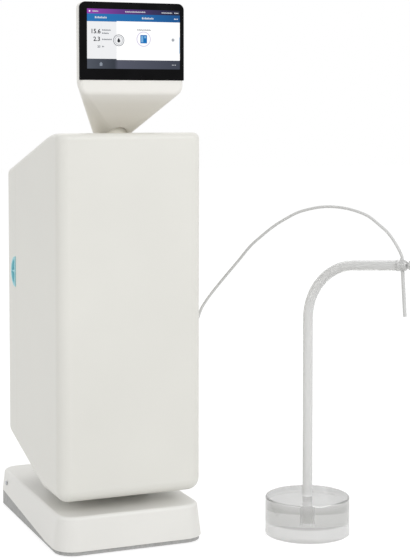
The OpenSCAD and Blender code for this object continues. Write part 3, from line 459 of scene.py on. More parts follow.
def make_finish(slot):
    covers = bpy.context.scene.water_unit_covers
    clear = bpy.context.scene.water_unit_clear
    inside = bpy.context.scene.water_unit_inside
    grain = covers.grain
    if slot == "cream_cover":
        return moulded("cream_cover_plastic", tuple(covers.cream), 0.42, grain)
    # Painted light and shade on the head: a warmed cream below the chin, a paler cream on the chin and above
    if slot == "head_cream":
        return moulded("head_plastic", tuple(covers.head_cream), 0.42, grain, painted_lit_chin_tone=tuple(covers.painted_lit_chin_cream))
    # Painted light: a paler cream and a glow of 0.12 brighten the dome in the shade under the head
    if slot == "turret_cream":
        return moulded("turret_plastic", tuple(covers.turret_cream), 0.4, grain, glow=0.12)
    if slot == "warm_white":
        return moulded("base_cover_plastic", tuple(covers.base_white), 0.4, grain)
    if slot == "tray_grey":
        return grained("grained_grey_plastic", tuple(covers.tray_grey), grain)
    if slot == "pull_blue":
        return moulded("teal_plastic", tuple(covers.pull_teal), 0.38, grain, 1100.0, 0.05)
    if slot == "acetal_white":
        return moulded("machined_white_plastic", linear("DDDBD3"), 0.36, grain * 0.5, 500.0, 0.03)
    if slot == "black_glass":
        return display_glass("display_cover_glass")
    if slot == "clear_acrylic":
        # Painted light and shade: the disc's tint bands by height
        low, middle, high = tuple(clear.disc_low_painted_shading), tuple(clear.disc_middle_painted_shading), tuple(clear.disc_high_painted_shading)
        bands = [(0.0, low), (0.0145, low), (0.0155, middle), (0.034, middle), (0.0426, high)]
        return acrylic("clear_cast_acrylic", bands, 0.05, 0.75, 0.75)
    if slot == "rod_acrylic":
        # Painted light: the rod's foot inside the disc gets a pale tint and a glow below 42 mm
        foot, upright, arm = linear("F6F6F6"), tuple(clear.rod), tuple(clear.arm)
        bands = [(0.0, foot), (0.04, foot), (0.06, upright), (0.24, upright), (0.31, arm)]
        return acrylic("hazy_cast_acrylic", bands, 0.12, 0.8, 0.4, painted_glow_below=0.042)
    if slot == "clear_quartz":
        return acrylic("lamp_quartz", [(0.1, linear("E2EEF4")), (0.4, linear("EEF4F7"))], 0.04)
    if slot == "clear_plastic":
        return acrylic("clear_meter_body", [(0.1, linear("E6EDED")), (0.3, linear("ECF1F1"))], 0.12)
    if slot == "clear_tube":
        return tubing("translucent_tubing", tuple(clear.tubing), 0.12)
    if slot == "board_green":
        return circuit("circuit_board", tuple(inside.board))
    if slot in METALS:
        name, code, roughness, stretch = METALS[slot]
        return metal(name, linear(code), roughness, stretch)
    if slot in COATINGS:
        name, code, roughness, depth = COATINGS[slot]
        return coated(name, linear(code), roughness, depth)
    raise RuntimeError("no finish for " + slot)


# ---- piece helpers


def placed(name, data):
    """A new object in the scene."""
    made = bpy.data.objects.new(name, data)
    bpy.context.scene.collection.objects.link(made)
    return made


def keep(name, mesh, body, slot_name, *stands_for):
    """Puts a finished mesh in the scene as a piece that rides on a body."""
    piece = placed(name, mesh)
    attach(piece, body)
    if stands_for:
        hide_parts(*stands_for)
    return piece


def settled(piece):
    """The piece's mesh with its modifiers worked in."""
    graph = bpy.context.evaluated_depsgraph_get()
    graph.update()
    mesh = bpy.data.meshes.new_from_object(piece.evaluated_get(graph))
    piece.modifiers.clear()
    return mesh


def rounded(mesh, soften, sharp):
    """Breaks the sharp edges and evens the shading of broad faces."""
    helper = placed("helper", mesh)
    if soften > 0:
        edge = helper.modifiers.new("edge", "BEVEL")
        edge.width = soften
        edge.segments = 2
        edge.limit_method = "ANGLE"
        edge.angle_limit = math.radians(sharp)
        edge.use_clamp_overlap = True
    even = helper.modifiers.new("even", "WEIGHTED_NORMAL")
    even.keep_sharp = True
    even.weight = 80
    result = settled(helper)
    bpy.data.objects.remove(helper)
    return result


def clean_copy(node, sharp=32.0):
    """A copy of a solid's mesh with its triangles joined and its smooth faces marked."""
    mesh = NODES[node].data.copy()
    mesh.name = node + "_piece"
    mesh.materials.clear()
    shape = bmesh.new()
    shape.from_mesh(mesh)
    bmesh.ops.remove_doubles(shape, verts=shape.verts, dist=2e-6)
    bmesh.ops.dissolve_limit(
        shape, angle_limit=math.radians(0.4), use_dissolve_boundaries=False, verts=shape.verts, edges=shape.edges
    )
    for face in shape.faces:
        face.smooth = True
    for edge in shape.edges:
        edge.smooth = len(edge.link_faces) == 2 and edge.calc_face_angle(0.0) < math.radians(sharp)
    shape.to_mesh(mesh)
    shape.free()
    return mesh


def dress(node, soften=0.0, sharp=32.0, look=None):
    """Stands a cleaned, softened copy of a solid in its place, with its finish."""
    mesh = rounded(clean_copy(node, sharp), soften, sharp)
    mesh.materials.append(finish(look or SLOT_OF[node]))
    return keep(node + "_dressed", mesh, BODY_OF[node], SLOT_OF[node], node)


def box_of(node):
    low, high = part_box(node)
    return Vector(low), Vector(high)


def smooth(route, steps):
    """Points along a smooth curve through the route."""
    result = []
    last = len(route) - 1
    for i in range(last):
        a, b, c, d = route[max(i - 1, 0)], route[i], route[i + 1], route[min(i + 2, last)]
        for k in range(steps):
            t = k / steps
            result.append(0.5 * (
                2 * b + (c - a) * t + (2 * a - 5 * b + 4 * c - d) * t * t + (3 * b - 3 * c + d - a) * t * t * t
            ))
    result.append(route[-1])
    return result


def sweep(name, points, radii, sides, start=None):
    """A closed round bar along the points, one radius for all or one each; start is its first direction."""
    last = len(points) - 1
    radii = radii if isinstance(radii, list) else [radii] * (last + 1)
    shape = bmesh.new()
    rings = []
    side = Vector((0.8, 0.6, 0.0))
    for i, (point, r) in enumerate(zip(points, radii)):
        along = (points[min(i + 1, last)] - points[max(i - 1, 0)]).normalized()
        if i == 0 and start:
            along = start
        across = along.cross(side).normalized()
        up = along.cross(across)
        turn = [2 * math.pi * k / sides for k in range(sides)]
        rings.append([shape.verts.new(point + r * (math.cos(a) * across + math.sin(a) * up)) for a in turn])
    for low, high in zip(rings, rings[1:]):
        for k in range(sides):
            face = shape.faces.new((low[k], low[(k + 1) % sides], high[(k + 1) % sides], high[k]))
            face.smooth = True
    shape.faces.new(list(reversed(rings[0])))
    shape.faces.new(rings[-1])
    for ring in (rings[0], rings[-1]):
        for k in range(sides):
            shape.edges.get((ring[k], ring[(k + 1) % sides])).smooth = False
    bmesh.ops.recalc_face_normals(shape, faces=shape.faces)
    mesh = bpy.data.meshes.new(name)
    shape.to_mesh(mesh)
    shape.free()
    return mesh


# ---- repeated shapes


class Tree:
    """A Geometry Nodes tree in the making, with named inputs."""

    def __init__(self, name, inputs):
        self.group = bpy.data.node_groups.new(name, "GeometryNodeTree")
        face = self.group.interface
        face.new_socket("Geometry", in_out="INPUT", socket_type="NodeSocketGeometry")
        self.ids = {}
        for label, (kind, value) in inputs.items():
            socket = face.new_socket(label, in_out="INPUT", socket_type="NodeSocket" + kind)
            if value is not None:
                socket.default_value = value
            self.ids[label] = socket.identifier
        face.new_socket("Geometry", in_out="OUTPUT", socket_type="NodeSocketGeometry")
        self.start = self.group.nodes.new("NodeGroupInput")
        self.end = self.group.nodes.new("NodeGroupOutput")

    def node(self, kind, settings=None, sockets=None):
        made = self.group.nodes.new(kind)
        for key, value in (settings or {}).items():
            setattr(made, key, value)
        for key, value in (sockets or {}).items():
            if isinstance(value, bpy.types.NodeSocket):
                self.group.links.new(value, made.inputs[key])
            else:
                made.inputs[key].default_value = value
        return made

    def given(self, label):
        return self.start.outputs[label]

    def close(self, geometry):
        """Realizes the instances and gives them the material input."""
        real = self.node("GeometryNodeRealizeInstances", {}, {0: geometry})
        done = self.node(
            "GeometryNodeSetMaterial", {}, {"Geometry": real.outputs[0], "Material": self.given("Material")}
        )
        self.group.links.new(done.outputs[0], self.end.inputs[0])


def rib_tree():
    """Upright ribs evenly round a drum."""
    tree = Tree("ribs_round_a_drum", {
        "Radius": ("Float", 0.02), "Height": ("Float", 0.03), "Count": ("Int", 24),
        "Width": ("Float", 0.001), "Depth": ("Float", 0.001),
        "Material": ("Material", None),
    })
    circle = tree.node("GeometryNodeMeshCircle", {}, {
        "Vertices": tree.given("Count"), "Radius": tree.given("Radius"),
    })
    size = tree.node("ShaderNodeCombineXYZ", {}, {
        0: tree.given("Depth"), 1: tree.given("Width"), 2: tree.given("Height"),
    })
    rib = tree.node("GeometryNodeMeshCube", {}, {"Size": size.outputs[0]})
    spot = tree.node("GeometryNodeInputPosition")
    turn = tree.node("FunctionNodeAlignRotationToVector", {"axis": "X"}, {"Vector": spot.outputs[0]})
    spread = tree.node("GeometryNodeInstanceOnPoints", {}, {
        "Points": circle.outputs[0], "Instance": rib.outputs[0], "Rotation": turn.outputs[0],
    })
    tree.close(spread.outputs[0])
    return tree


def chip_tree():
    """Small parts of mixed sizes scattered on a grid over a board's face."""
    tree = Tree("small_parts_on_a_board", {
        "Wide": ("Float", 0.1), "High": ("Float", 0.05), "Across": ("Int", 20),
        "Up": ("Int", 10), "Seed": ("Int", 1), "Keep": ("Float", 0.4),
        "Material": ("Material", None),
    })
    grid = tree.node("GeometryNodeMeshGrid", {}, {
        "Size X": tree.given("Wide"), "Size Y": tree.given("High"),
        "Vertices X": tree.given("Across"), "Vertices Y": tree.given("Up"),
    })
    pick = tree.node("FunctionNodeRandomValue", {"data_type": "BOOLEAN"}, {"Seed": tree.given("Seed")})
    tree.group.links.new(tree.given("Keep"), pick.inputs["Probability"])
    size = tree.node("FunctionNodeRandomValue", {"data_type": "FLOAT_VECTOR"}, {"Seed": tree.given("Seed")})
    size.inputs[0].default_value = (0.5, 0.5, 0.5)
    size.inputs[1].default_value = (1.4, 1.1, 1.0)
    part = tree.node("GeometryNodeMeshCube", {}, {"Size": (0.0022, 0.0013, 0.0009)})
    spread = tree.node("GeometryNodeInstanceOnPoints", {}, {
        "Points": grid.outputs[0], "Selection": [s for s in pick.outputs if s.type == "BOOLEAN"][0],
        "Instance": part.outputs[0], "Scale": size.outputs[0],
    })
    tree.close(spread.outputs[0])
    return tree


TREES = {}


def grow(name, build, inputs, move, material, body, slot_name):
    """Runs a tree with these inputs, moves its mesh into place and keeps it as a piece."""
    if build not in TREES:
        TREES[build] = build()
    tree = TREES[build]
    helper = placed("helper", bpy.data.meshes.new("seed"))
    made = helper.modifiers.new("made", "NODES")
    made.node_group = tree.group
    for label, value in inputs.items():
        made[tree.ids[label]] = value
    made[tree.ids["Material"]] = material
    mesh = settled(helper)
    bpy.data.objects.remove(helper)
    mesh.transform(move)
    mesh.materials.clear()
    mesh.materials.append(material)
    mesh.name = name
    return keep(name, mesh, body, slot_name)


# ---- flat picture


class Picture:
    """Flat shapes in the display's plane, each kind in a material of its own."""

    def __init__(self, plane_y):
        self.shape = bmesh.new()
        self.plane_y = plane_y
        self.materials = []

    def slot(self, material):
        if material not in self.materials:
            self.materials.append(material)
        return self.materials.index(material)

    def outline(self, points, layer, material):
        """A filled outline given as (x, z) pairs in millimetres, anticlockwise seen from the front."""
        y = self.plane_y - layer * 0.02 * MM
        verts = [self.shape.verts.new((x * MM, y, z * MM)) for x, z in points]
        face = self.shape.faces.new(verts)
        face.material_index = self.slot(material)

    def bar(self, x0, x1, z0, z1, layer, material, r=0.0):
        if r <= 0:
            self.outline([(x0, z0), (x1, z0), (x1, z1), (x0, z1)], layer, material)
            return
        points = []
        corners = ((x1 - r, z0 + r, -90), (x1 - r, z1 - r, 0), (x0 + r, z1 - r, 90), (x0 + r, z0 + r, 180))
        for cx, cz, start in corners:
            for k in range(5):
                a = math.radians(start + 90 * k / 4)
                points.append((cx + r * math.cos(a), cz + r * math.sin(a)))
        self.outline(points, layer, material)

    def disc(self, x, z, r, layer, material, sides=40):
        turn = [2 * math.pi * k / sides for k in range(sides)]
        self.outline([(x + r * math.cos(a), z + r * math.sin(a)) for a in turn], layer, material)

    def print_row(self, x0, x1, z, height, layer, material):
        """A row of small uneven blocks, which passes for a line of print from a distance."""
        x = x0
        k = 0
        while x < x1 - 0.2:
            wide = min(height * (0.75, 0.4, 0.6, 0.85, 0.5)[k % 5], x1 - x)
            tall = height * (0.5, 0.36, 0.5, 0.4)[k % 4]
            self.bar(x, x + wide, z - height / 2, z - height / 2 + 2 * tall, layer, material)
            x += wide + 0.22 * height
            k += 1

    def number(self, words, x, z, height, layer, material):
        """Figures in the plain built-in face, starting at x and centred on z."""
        curve = bpy.data.curves.new("figures", "FONT")
        curve.body = words
        curve.size = height * 1.38 * MM
        curve.resolution_u = 3
        curve.offset = height * 0.03 * MM
        helper = placed("figures", curve)
        mesh = settled(helper)
        bpy.data.objects.remove(helper)
        heights = [v.co.y for v in mesh.vertices]
        middle = (min(heights) + max(heights)) / 2
        y = self.plane_y - layer * 0.02 * MM
        start = len(self.shape.faces)
        mesh.transform(Matrix(((1, 0, 0, x * MM), (0, 0, 0, y), (0, 1, 0, z * MM - middle), (0, 0, 0, 1))))
        self.shape.from_mesh(mesh)
        self.shape.faces.ensure_lookup_table()
        for face in self.shape.faces[start:]:
            face.material_index = self.slot(material)

    def mesh(self, name):
        """The picture as one mesh, with every face turned to the front."""
        self.shape.normal_update()
        for face in self.shape.faces:
            if face.normal.y > 0:
                face.normal_flip()
        result = bpy.data.meshes.new(name)
        self.shape.to_mesh(result)
        self.shape.free()
        for material in self.materials:
            result.materials.append(material)
        return result


# ---- operators


class WATERUNIT_OT_stage(bpy.types.Operator):
    """Camera, floor and plain soft light"""

    bl_idname = "water_unit.stage"
    bl_label = "Stage"

    # Name, place, aim, side in metres and power in watts
    LAMPS = (
        ("key", (1.3, -2.8, 1.7), (0.0, -0.1, 0.3), 1.6, 33.0),
        ("left_fill", (-2.4, -0.9, 1.3), (0.0, 0.0, 0.28), 1.4, 9.0),
        ("back_top", (0.2, 1.6, 2.4), (0.0, 0.0, 0.3), 1.6, 14.0),
    )
    WHITE = (1.0, 1.0, 1.0, 1.0)
    FLOOR_HALF = 9.0

    def execute(self, context):
        wants = context.scene.water_unit_stage
        lens = bpy.data.cameras.new("photo_camera")
        lens.sensor_fit = "AUTO"
        lens.sensor_width = 36.0
        lens.lens = wants.lens
        lens.shift_y = wants.rise
        lens.clip_start = 0.05
        lens.clip_end = 60.0
        camera = placed("photo_camera", lens)
        camera.location = wants.camera_place
        camera.rotation_euler = (math.pi / 2 - wants.camera_dip, 0.0, wants.camera_turn)
        context.scene.camera = camera
        context.scene.view_settings.view_transform = "Standard"
        self.floor()
        self.surroundings(context, wants.ambient)
        for lamp in self.LAMPS:
            self.lamp(*lamp)
        return {"FINISHED"}

    def lamp(self, name, place, target, size, power):
        light = bpy.data.lights.new(name, "AREA")
        light.shape = "SQUARE"
        light.size = size
        light.energy = power
        lamp = placed(name, light)
        lamp.location = place
        lamp.rotation_euler = (Vector(target) - Vector(place)).to_track_quat("-Z", "Y").to_euler()

    def floor(self):
        """A broad pale floor; the camera sees it near white, with the object's shadow on it."""
        mesh = bpy.data.meshes.new("floor")
        s = self.FLOOR_HALF
        mesh.from_pydata([(-s, -s, 0), (s, -s, 0), (s, s, 0), (-s, s, 0)], [], [(0, 1, 2, 3)])
        mesh.transform(Matrix.Translation((0.0, 0.0, -0.0002)))
        floor = placed("floor", mesh)
        material = bpy.data.materials.new("pale_floor")
        tree = self.emptied(material)
        plain = self.shader(tree, "ShaderNodeBsdfDiffuse", (0.8, 0.8, 0.79, 1.0))
        seen = self.shader(tree, "ShaderNodeBsdfDiffuse", (0.34, 0.34, 0.34, 1.0))
        glow = self.shader(tree, "ShaderNodeEmission", self.WHITE, 0.8)
        both = tree.nodes.new("ShaderNodeAddShader")
        tree.links.new(seen.outputs[0], both.inputs[0])
        tree.links.new(glow.outputs[0], both.inputs[1])
        self.by_ray(tree, plain, both, "ShaderNodeOutputMaterial")
        mesh.materials.append(material)

    def surroundings(self, context, ambient):
        """Plain white to look at, and a softer light on the object."""
        world = bpy.data.worlds.new("surroundings")
        context.scene.world = world
        tree = self.emptied(world)
        light = self.shader(tree, "ShaderNodeBackground", self.WHITE, ambient)
        white = self.shader(tree, "ShaderNodeBackground", self.WHITE, 1.0)
        self.by_ray(tree, light, white, "ShaderNodeOutputWorld")

    def emptied(self, owner):
        owner.use_nodes = True
        owner.node_tree.nodes.clear()
        return owner.node_tree

    def shader(self, tree, kind, colour, strength=None):
        made = tree.nodes.new(kind)
        made.inputs["Color"].default_value = colour
        if strength is not None:
            made.inputs["Strength"].default_value = strength
        return made

    def by_ray(self, tree, unseen, seen, output):
        """Shows one shader to the camera, also in mirrors and through glass, and lights with the other."""
        path = tree.nodes.new("ShaderNodeLightPath")
        looking = path.outputs["Is Camera Ray"]
        for name in ("Is Glossy Ray", "Is Transmission Ray"):
            most = tree.nodes.new("ShaderNodeMath")
            most.operation = "MAXIMUM"
            tree.links.new(looking, most.inputs[0])
            tree.links.new(path.outputs[name], most.inputs[1])
            looking = most.outputs[0]
        mix = tree.nodes.new("ShaderNodeMixShader")
        for place, socket in enumerate((looking, unseen.outputs[0], seen.outputs[0])):
            tree.links.new(socket, mix.inputs[place])
        tree.links.new(mix.outputs[0], tree.nodes.new(output).inputs[0])


class WATERUNIT_OT_tube(bpy.types.Operator):
    """The dispense tube, from its outlet to the nozzle"""

    bl_idname = "water_unit.tube"
    bl_label = "Dispense tube"

    ROUTE = (
        (103, -30, 222), (108, -30, 224), (113, -31, 230), (117, -33, 240),
        (121, -37, 254), (131, -43, 271), (143, -51, 289), (156, -62, 309),
        (167, -74, 328), (177, -85, 341), (187, -97, 353), (196, -109, 362),
        (205, -122, 370), (214, -136, 375), (222, -150, 378), (230, -164, 379),
        (238, -179, 378), (246, -193, 375), (253, -207, 370), (260, -222, 360),
        (264, -229, 354), (267, -237, 346), (270, -244, 336),
        (271.72, -247.90, 328.72), (271.80, -248.04, 326.23),
    )

    def execute(self, context):
        diameter = context.scene.water_unit_clear.tube_diameter
        points = smooth([Vector(p) * MM for p in self.ROUTE], 4)
        length = sum((b - a).length for a, b in zip(points, points[1:]))
        mesh = sweep("dispense_tube_run", points, diameter / 2, 16, Vector((1.0, 0.0, 0.0)))
        mesh.materials.append(finish("clear_tube"))
        piece = keep("dispense_tube_run", mesh, "base_unit", "clear_tube", "dispense_tube")
        return {"FINISHED"}


class WATERUNIT_OT_covers(bpy.types.Operator):
    """Tower, door, head, base and their trim"""

    bl_idname = "water_unit.covers"
    bl_label = "Covers"

    def execute(self, context):
        soft = context.scene.water_unit_covers.soft_edge
        for node in ("housing_shell", "service_door", "base_cover"):
            dress(node, soft, 30.0)
        dress("head_shell", soft, 30.0, "head_cream")
        dress("turret", soft, 34.0, "turret_cream")
        for node in ("base_tray", "column", "door_pull", "rubber_feet"):
            dress(node, soft, 34.0)
        return {"FINISHED"}


class WATERUNIT_OT_display(bpy.types.Operator):
    """Cover glass and the lit picture behind it"""

    bl_idname = "water_unit.display"
    bl_label = "Display"

    # The picture's edges, the edge of its left part, its title bar and the tops of its two footers
    LEFT, RIGHT, LOW, HIGH = -52.3, 55.7, 534.5, 599.5
    SPLIT = -18.5
    TITLE_LOW, TITLE_HIGH = 585.8, 594.2
    FOOT_LEFT, FOOT_RIGHT = 545.3, 544.2
    FLAT = {
        "white": "FFFFFF", "panel": "F3F4F6", "footer_pale": "8C94A0", "ink": "24272C", "grey": "74787F",
        "faint": "D9DCE1", "halo": "DCD6EA", "blue": "1573BD", "sky": "7FB6E2",
    }
    GRADED = {
        "header": ((0.0, "2A7CC0"), (0.6, "1F6FB4"), (1.0, "1B5896")),
        "footer": ((0.0, "555B66"), (0.29, "3B404A"), (0.33, "5A5D6C"), (1.0, "434855")),
        "status": ((0.0, "A045B8"), (0.35, "6A3C8E"), (0.7, "3B3560"), (1.0, "1E2438")),
    }

    def execute(self, context):
        wants = context.scene.water_unit_screen
        dress("touch_glass", 0.0006, 30.0)
        low, _ = box_of("touch_glass")
        art = Picture(low.y - 0.03 * MM)
        paint = self.paints(wants.glow)
        art.bar(self.LEFT, self.RIGHT, self.TITLE_HIGH, self.HIGH, 0, paint["status"])
        art.bar(self.LEFT, self.RIGHT, self.TITLE_LOW, self.TITLE_HIGH, 0, paint["header"])
        art.bar(self.LEFT, self.SPLIT, self.FOOT_LEFT, self.TITLE_LOW, 0, paint["panel"])
        art.bar(self.SPLIT, self.RIGHT, self.FOOT_RIGHT, self.TITLE_LOW + 0.6, 1, paint["white"])
        art.bar(self.LEFT, self.SPLIT, self.LOW, self.FOOT_LEFT, 0, paint["footer"])
        art.bar(self.SPLIT, self.RIGHT, self.LOW, self.FOOT_RIGHT, 0, paint["footer"])
        self.marks(art, paint)
        self.readings(art, paint, wants)
        keep("screen_picture", art.mesh("screen_picture"), "display_head", None)
        return {"FINISHED"}

    def paints(self, glow):
        """The lit colours by name; white is the brightest."""
        made = {
            name: lit("lit_" + name, linear(code), glow * (1.12 if name == "white" else 1.0))
            for name, code in self.FLAT.items()
        }
        for name, stops in self.GRADED.items():
            colours = [(place, linear(code)) for place, code in stops]
            made[name] = lit_ramp("lit_" + name, colours, self.LEFT * MM, self.RIGHT * MM, glow)
        return made

    def marks(self, art, paint):
        """Plain bars and simple signs, with nothing to read in them."""
        art.disc(-49.4, 596.9, 0.9, 2, paint["white"], 20)
        for left, right, z, height in (
            (-46.0, -39.2, 596.9, 1.3), (-8.5, 15.0, 596.9, 1.3), (34.2, 46.4, 596.7, 1.2),
            (49.2, 54.0, 596.7, 1.2), (-43.4, -29.8, 590.2, 2.1), (11.0, 24.8, 590.2, 2.1),
        ):
            art.print_row(left, right, z, height, 2, paint["faint"])
        for x in (49.4, 51.0, 52.6):
            art.disc(x, 590.1, 0.55, 2, paint["white"], 16)
        art.print_row(5.6, 21.4, 577.4, 1.4, 2, paint["grey"])
        art.disc(12.9, 567.3, 8.4, 2, paint["halo"])
        art.disc(12.9, 567.3, 7.3, 3, paint["white"])
        art.bar(9.0, 16.9, 562.7, 571.9, 4, paint["blue"], 0.5)
        art.bar(10.0, 12.4, 563.9, 570.8, 5, paint["sky"], 0.2)
        art.bar(13.6, 15.8, 568.4, 570.8, 5, paint["sky"], 0.2)
        art.disc(47.6, 566.9, 2.1, 2, paint["faint"], 24)
        art.outline([(46.9, 565.4), (48.9, 566.9), (46.9, 568.4)], 3, paint["grey"])
        art.bar(55.0, 55.5, 552.0, 570.0, 2, paint["sky"], 0.2)
        cx, cz = -16.0, 565.6
        for layer, (r, name) in enumerate(((6.4, "grey"), (5.75, "panel"), (4.5, "grey"), (4.2, "panel")), 2):
            art.disc(cx, cz, r, layer, paint[name])
        drop = [(cx, cz + 2.9)]
        for k in range(13):
            a = math.radians(150 + 240 * k / 12)
            drop.append((cx + 1.7 * math.cos(a), cz - 0.7 + 1.7 * math.sin(a)))
        art.outline(drop, 6, paint["ink"])
        home = (
            (-38.5, 539.6), (-38.0, 539.6), (-38.0, 537.6), (-34.9, 537.6), (-34.9, 539.6), (-34.4, 539.6),
            (-36.45, 542.0),
        )
        art.outline(home, 2, paint["footer_pale"])
        for x in (46.8, 48.6, 50.4):
            art.disc(x, 539.2, 0.5, 2, paint["faint"], 12)

    def readings(self, art, paint, wants):
        """Three plain numbers at the left, and the rows beside them."""
        art.number(wants.upper_reading, -48.4, 575.2, 4.9, 2, paint["ink"])
        art.number(wants.lower_reading, -45.2, 566.8, 4.7, 2, paint["ink"])
        art.number(wants.small_reading, -40.6, 558.6, 2.5, 2, paint["grey"])
        for left, right, z in (
            (-35.0, -25.2, 576.6), (-35.0, -27.2, 573.1), (-35.0, -24.2, 566.4), (-35.0, -32.6, 558.6),
        ):
            art.print_row(left, right, z, 1.5, 2, paint["grey"])
        art.bar(-36.25, -36.1, 556.5, 583.5, 2, paint["faint"])


class WATERUNIT_OT_stand(bpy.types.Operator):
    """Clear disc, bent rod, tube holder, nozzle and thumb screw"""

    bl_idname = "water_unit.stand"
    bl_label = "Stand"

    # The line of the rod, in millimetres: its foot, the bend's start and radius, the arm's slope and heading
    FOOT = Vector((210.0, -141.0, 12.7))
    BEND_Z = 248.5
    BEND_R = 66.0
    TILT = math.radians(3.7)
    OUT = Vector((0.5, -math.sin(math.radians(60.0)), 0.0))
    ROD_R = 5.7
    HOLDER_START = 56.0
    HOLDER_R = 6.3
    HOLDER_END = 69.9

    def execute(self, context):
        dress("stand_disc", 0.0006, 30.0)
        self.bar("stand_rod_bent", self.rod_line(), self.ROD_R * MM, "stand_rod")
        holder = [(self.HOLDER_START + 0.05, self.HOLDER_R - 0.35), (self.HOLDER_START + 0.4, self.HOLDER_R)]
        middle = self.HOLDER_END - self.HOLDER_R
        for k in range(12):
            a = math.radians(90 * k / 12)
            holder.append((middle + self.HOLDER_R * math.sin(a), self.HOLDER_R * math.cos(a)))
        holder.append((self.HOLDER_END, 0.05))
        line = [self.on_arm(s) * MM for s, _ in holder]
        self.bar("tube_holder_turned", line, [r * MM for _, r in holder], "tube_holder")
        dress("nozzle_tube", 0.0, 34.0)
        dress("clamp_screw", 0.0, 34.0, "rod_acrylic")
        return {"FINISHED"}

    def bar(self, name, line, radii, node):
        mesh = sweep(name, line, radii, 48)
        mesh.materials.append(finish("rod_acrylic"))
        return keep(name, mesh, BODY_OF[node], SLOT_OF[node], node)

    def on_bend(self, turn):
        """A point on the bend's centre line, turned so far from upright."""
        reach = self.BEND_R * (1 - math.cos(turn))
        return Vector((self.FOOT.x, self.FOOT.y, self.BEND_Z + self.BEND_R * math.sin(turn))) + self.OUT * reach

    def on_arm(self, s):
        """A point on the arm's centre line, s millimetres past the bend."""
        start = self.on_bend(math.pi / 2 - self.TILT)
        return start + s * (self.OUT * math.cos(self.TILT) + Vector((0.0, 0.0, math.sin(self.TILT))))

    def rod_line(self):
        """From the foot of the rod, up, round the bend and out along the arm."""
        line = [self.FOOT, self.FOOT + Vector((0.0, 0.0, 6.0))]
        line.append(Vector((self.FOOT.x, self.FOOT.y, self.BEND_Z - 6.0)))
        line += [self.on_bend((math.pi / 2 - self.TILT) * k / 30) for k in range(31)]
        line += [self.on_arm(6.0), self.on_arm(self.HOLDER_START - 6.0), self.on_arm(self.HOLDER_START - 0.05)]
        return [point * MM for point in line]


class WATERUNIT_OT_fittings(bpy.types.Operator):
    """Outlet, hose fittings, connection panel, hinge and screws"""

    bl_idname = "water_unit.fittings"
    bl_label = "Fittings"

    def execute(self, context):
        for node in (
            "outlet_fitting", "hose_fittings", "connection_panel", "power_jack", "switch_frame", "power_rocker",
            "hinge_leaves", "hinge_pins", "door_leaves", "small_screws", "housing_screws", "base_bolts",
            "door_magnets", "magnet_plates", "swivel_bush", "swivel_spindle", "spindle_nut", "retaining_ring",
            "ballast_plate",
        ):
            dress(node, 0.00015, 34.0)
        return {"FINISHED"}


class WATERUNIT_OT_works(bpy.types.Operator):
    """Pump, lamp, valve, cartridge and the sheet that carries them"""

    bl_idname = "water_unit.works"
    bl_label = "Works"

    # Heights of the cartridge's trim above its foot, and how far the band stands out, in millimetres
    GRIP_MIDDLE = 27.0
    BAND = ((136.0, 0.0), (136.3, 0.3), (143.7, 0.3), (144.0, 0.0))

    def execute(self, context):
        wants = context.scene.water_unit_inside
        for node in (
            "chassis_plate", "pump_motor", "pump_head", "pump_rotor", "uv_chamber", "uv_lamp", "uv_clamps",
            "manifold_block", "dispense_valve", "valve_plunger", "flow_meter", "flow_turbine", "resistivity_cell",
            "internal_tubes", "cartridge_head", "lock_collar", "purification_cartridge", "cartridge_cradle",
            "lcd_module",
        ):
            dress(node, 0.0002, 34.0)
        low, high = box_of("pump_motor")
        r = (high.x - low.x) / 2
        middle = Vector(((low.x + high.x) / 2, low.y + r, (low.z + high.z) / 2 - 0.004))
        grow("motor_ribs", rib_tree, {
            "Radius": r, "Height": (high.z - low.z) * 0.6, "Count": wants.rib_count, "Width": 0.0011, "Depth": 0.0008,
        }, Matrix.Translation(middle), finish("dark_metal"), "base_unit", "dark_metal")
        self.cartridge_trim(wants)
        return {"FINISHED"}

    def cartridge_trim(self, wants):
        """Grip ribs round the foot of the cartridge, and a coloured band near its top."""
        low, high = box_of("purification_cartridge")
        middle = (low + high) / 2
        r = (high.x - low.x) / 2 - 1.5 * MM
        body, slot = BODY_OF["purification_cartridge"], SLOT_OF["purification_cartridge"]
        grow("cartridge_grip_ribs", rib_tree, {
            "Radius": r, "Height": 0.022, "Count": wants.grip_count, "Width": 0.0014, "Depth": 0.0018,
        }, Matrix.Translation((middle.x, middle.y, low.z + self.GRIP_MIDDLE * MM)), finish(slot), body, slot)
        line = [Vector((middle.x, middle.y, low.z + z * MM)) for z, _ in self.BAND]
        band = sweep("cartridge_band", line, [r + out * MM for _, out in self.BAND], 96)
        band.materials.append(finish("pull_blue"))
        keep("cartridge_band", band, body, "pull_blue")


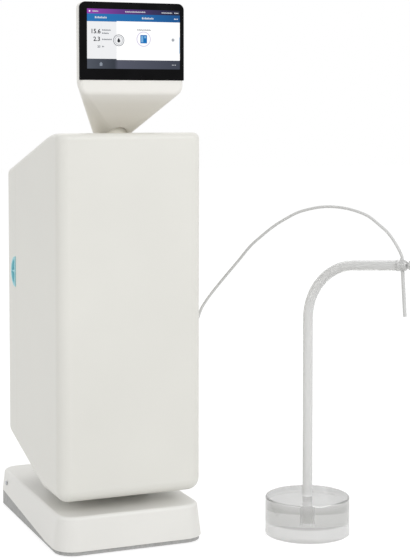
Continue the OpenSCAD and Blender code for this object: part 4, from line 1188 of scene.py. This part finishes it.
class WATERUNIT_OT_boards(bpy.types.Operator):
    """Circuit boards with their small parts"""

    bl_idname = "water_unit.boards"
    bl_label = "Boards"

    FACE_Y = -0.0284

    def execute(self, context):
        wants = context.scene.water_unit_inside
        for node in ("power_board", "control_board", "display_board", "board_standoffs"):
            dress(node, 0.0, 34.0)
        low, high = box_of("control_board")
        place = Matrix.Translation((0.0, self.FACE_Y, (low.z + high.z) / 2 + 0.004))
        grow("control_board_parts", chip_tree, {
            "Wide": (high.x - low.x) * 0.86, "High": (high.z - low.z) * 0.7, "Across": 30, "Up": 13,
            "Seed": wants.chip_seed, "Keep": 0.36,
        }, place @ Matrix.Rotation(math.pi / 2, 4, "X"), finish("black_plastic"), "base_unit", "black_plastic")
        return {"FINISHED"}


OPERATORS = (
    WATERUNIT_OT_stage, WATERUNIT_OT_tube, WATERUNIT_OT_covers, WATERUNIT_OT_display, WATERUNIT_OT_stand,
    WATERUNIT_OT_fittings, WATERUNIT_OT_works, WATERUNIT_OT_boards,
)
GROUPS = {
    "water_unit_covers": WaterUnitCovers,
    "water_unit_screen": WaterUnitScreen,
    "water_unit_clear": WaterUnitClear,
    "water_unit_inside": WaterUnitInside,
    "water_unit_stage": WaterUnitStage,
}


class WATERUNIT_PT_panel(bpy.types.Panel):
    """Lists the unit's pieces"""

    bl_idname = "WATERUNIT_PT_panel"
    bl_label = "Water Unit"
    bl_space_type = "VIEW_3D"
    bl_region_type = "UI"
    bl_category = "Water Unit"

    def draw(self, context):
        for name, group in GROUPS.items():
            settings = getattr(context.scene, name)
            box = self.layout.box()
            for key in group.__annotations__:
                box.prop(settings, key)
        for operator in OPERATORS:
            self.layout.operator(operator.bl_idname)


def register():
    for name, group in GROUPS.items():
        bpy.utils.register_class(group)
        setattr(bpy.types.Scene, name, PointerProperty(type=group))
    for cls in OPERATORS + (WATERUNIT_PT_panel,):
        bpy.utils.register_class(cls)


def unregister():
    for cls in reversed(OPERATORS + (WATERUNIT_PT_panel,)):
        bpy.utils.unregister_class(cls)
    for name, group in GROUPS.items():
        delattr(bpy.types.Scene, name)
        bpy.utils.unregister_class(group)


def main():
    register()
    for operator in OPERATORS:
        call = bpy.ops
        for part in operator.bl_idname.split("."):
            call = getattr(call, part)
        call()


if __name__ == "__main__":
    main()
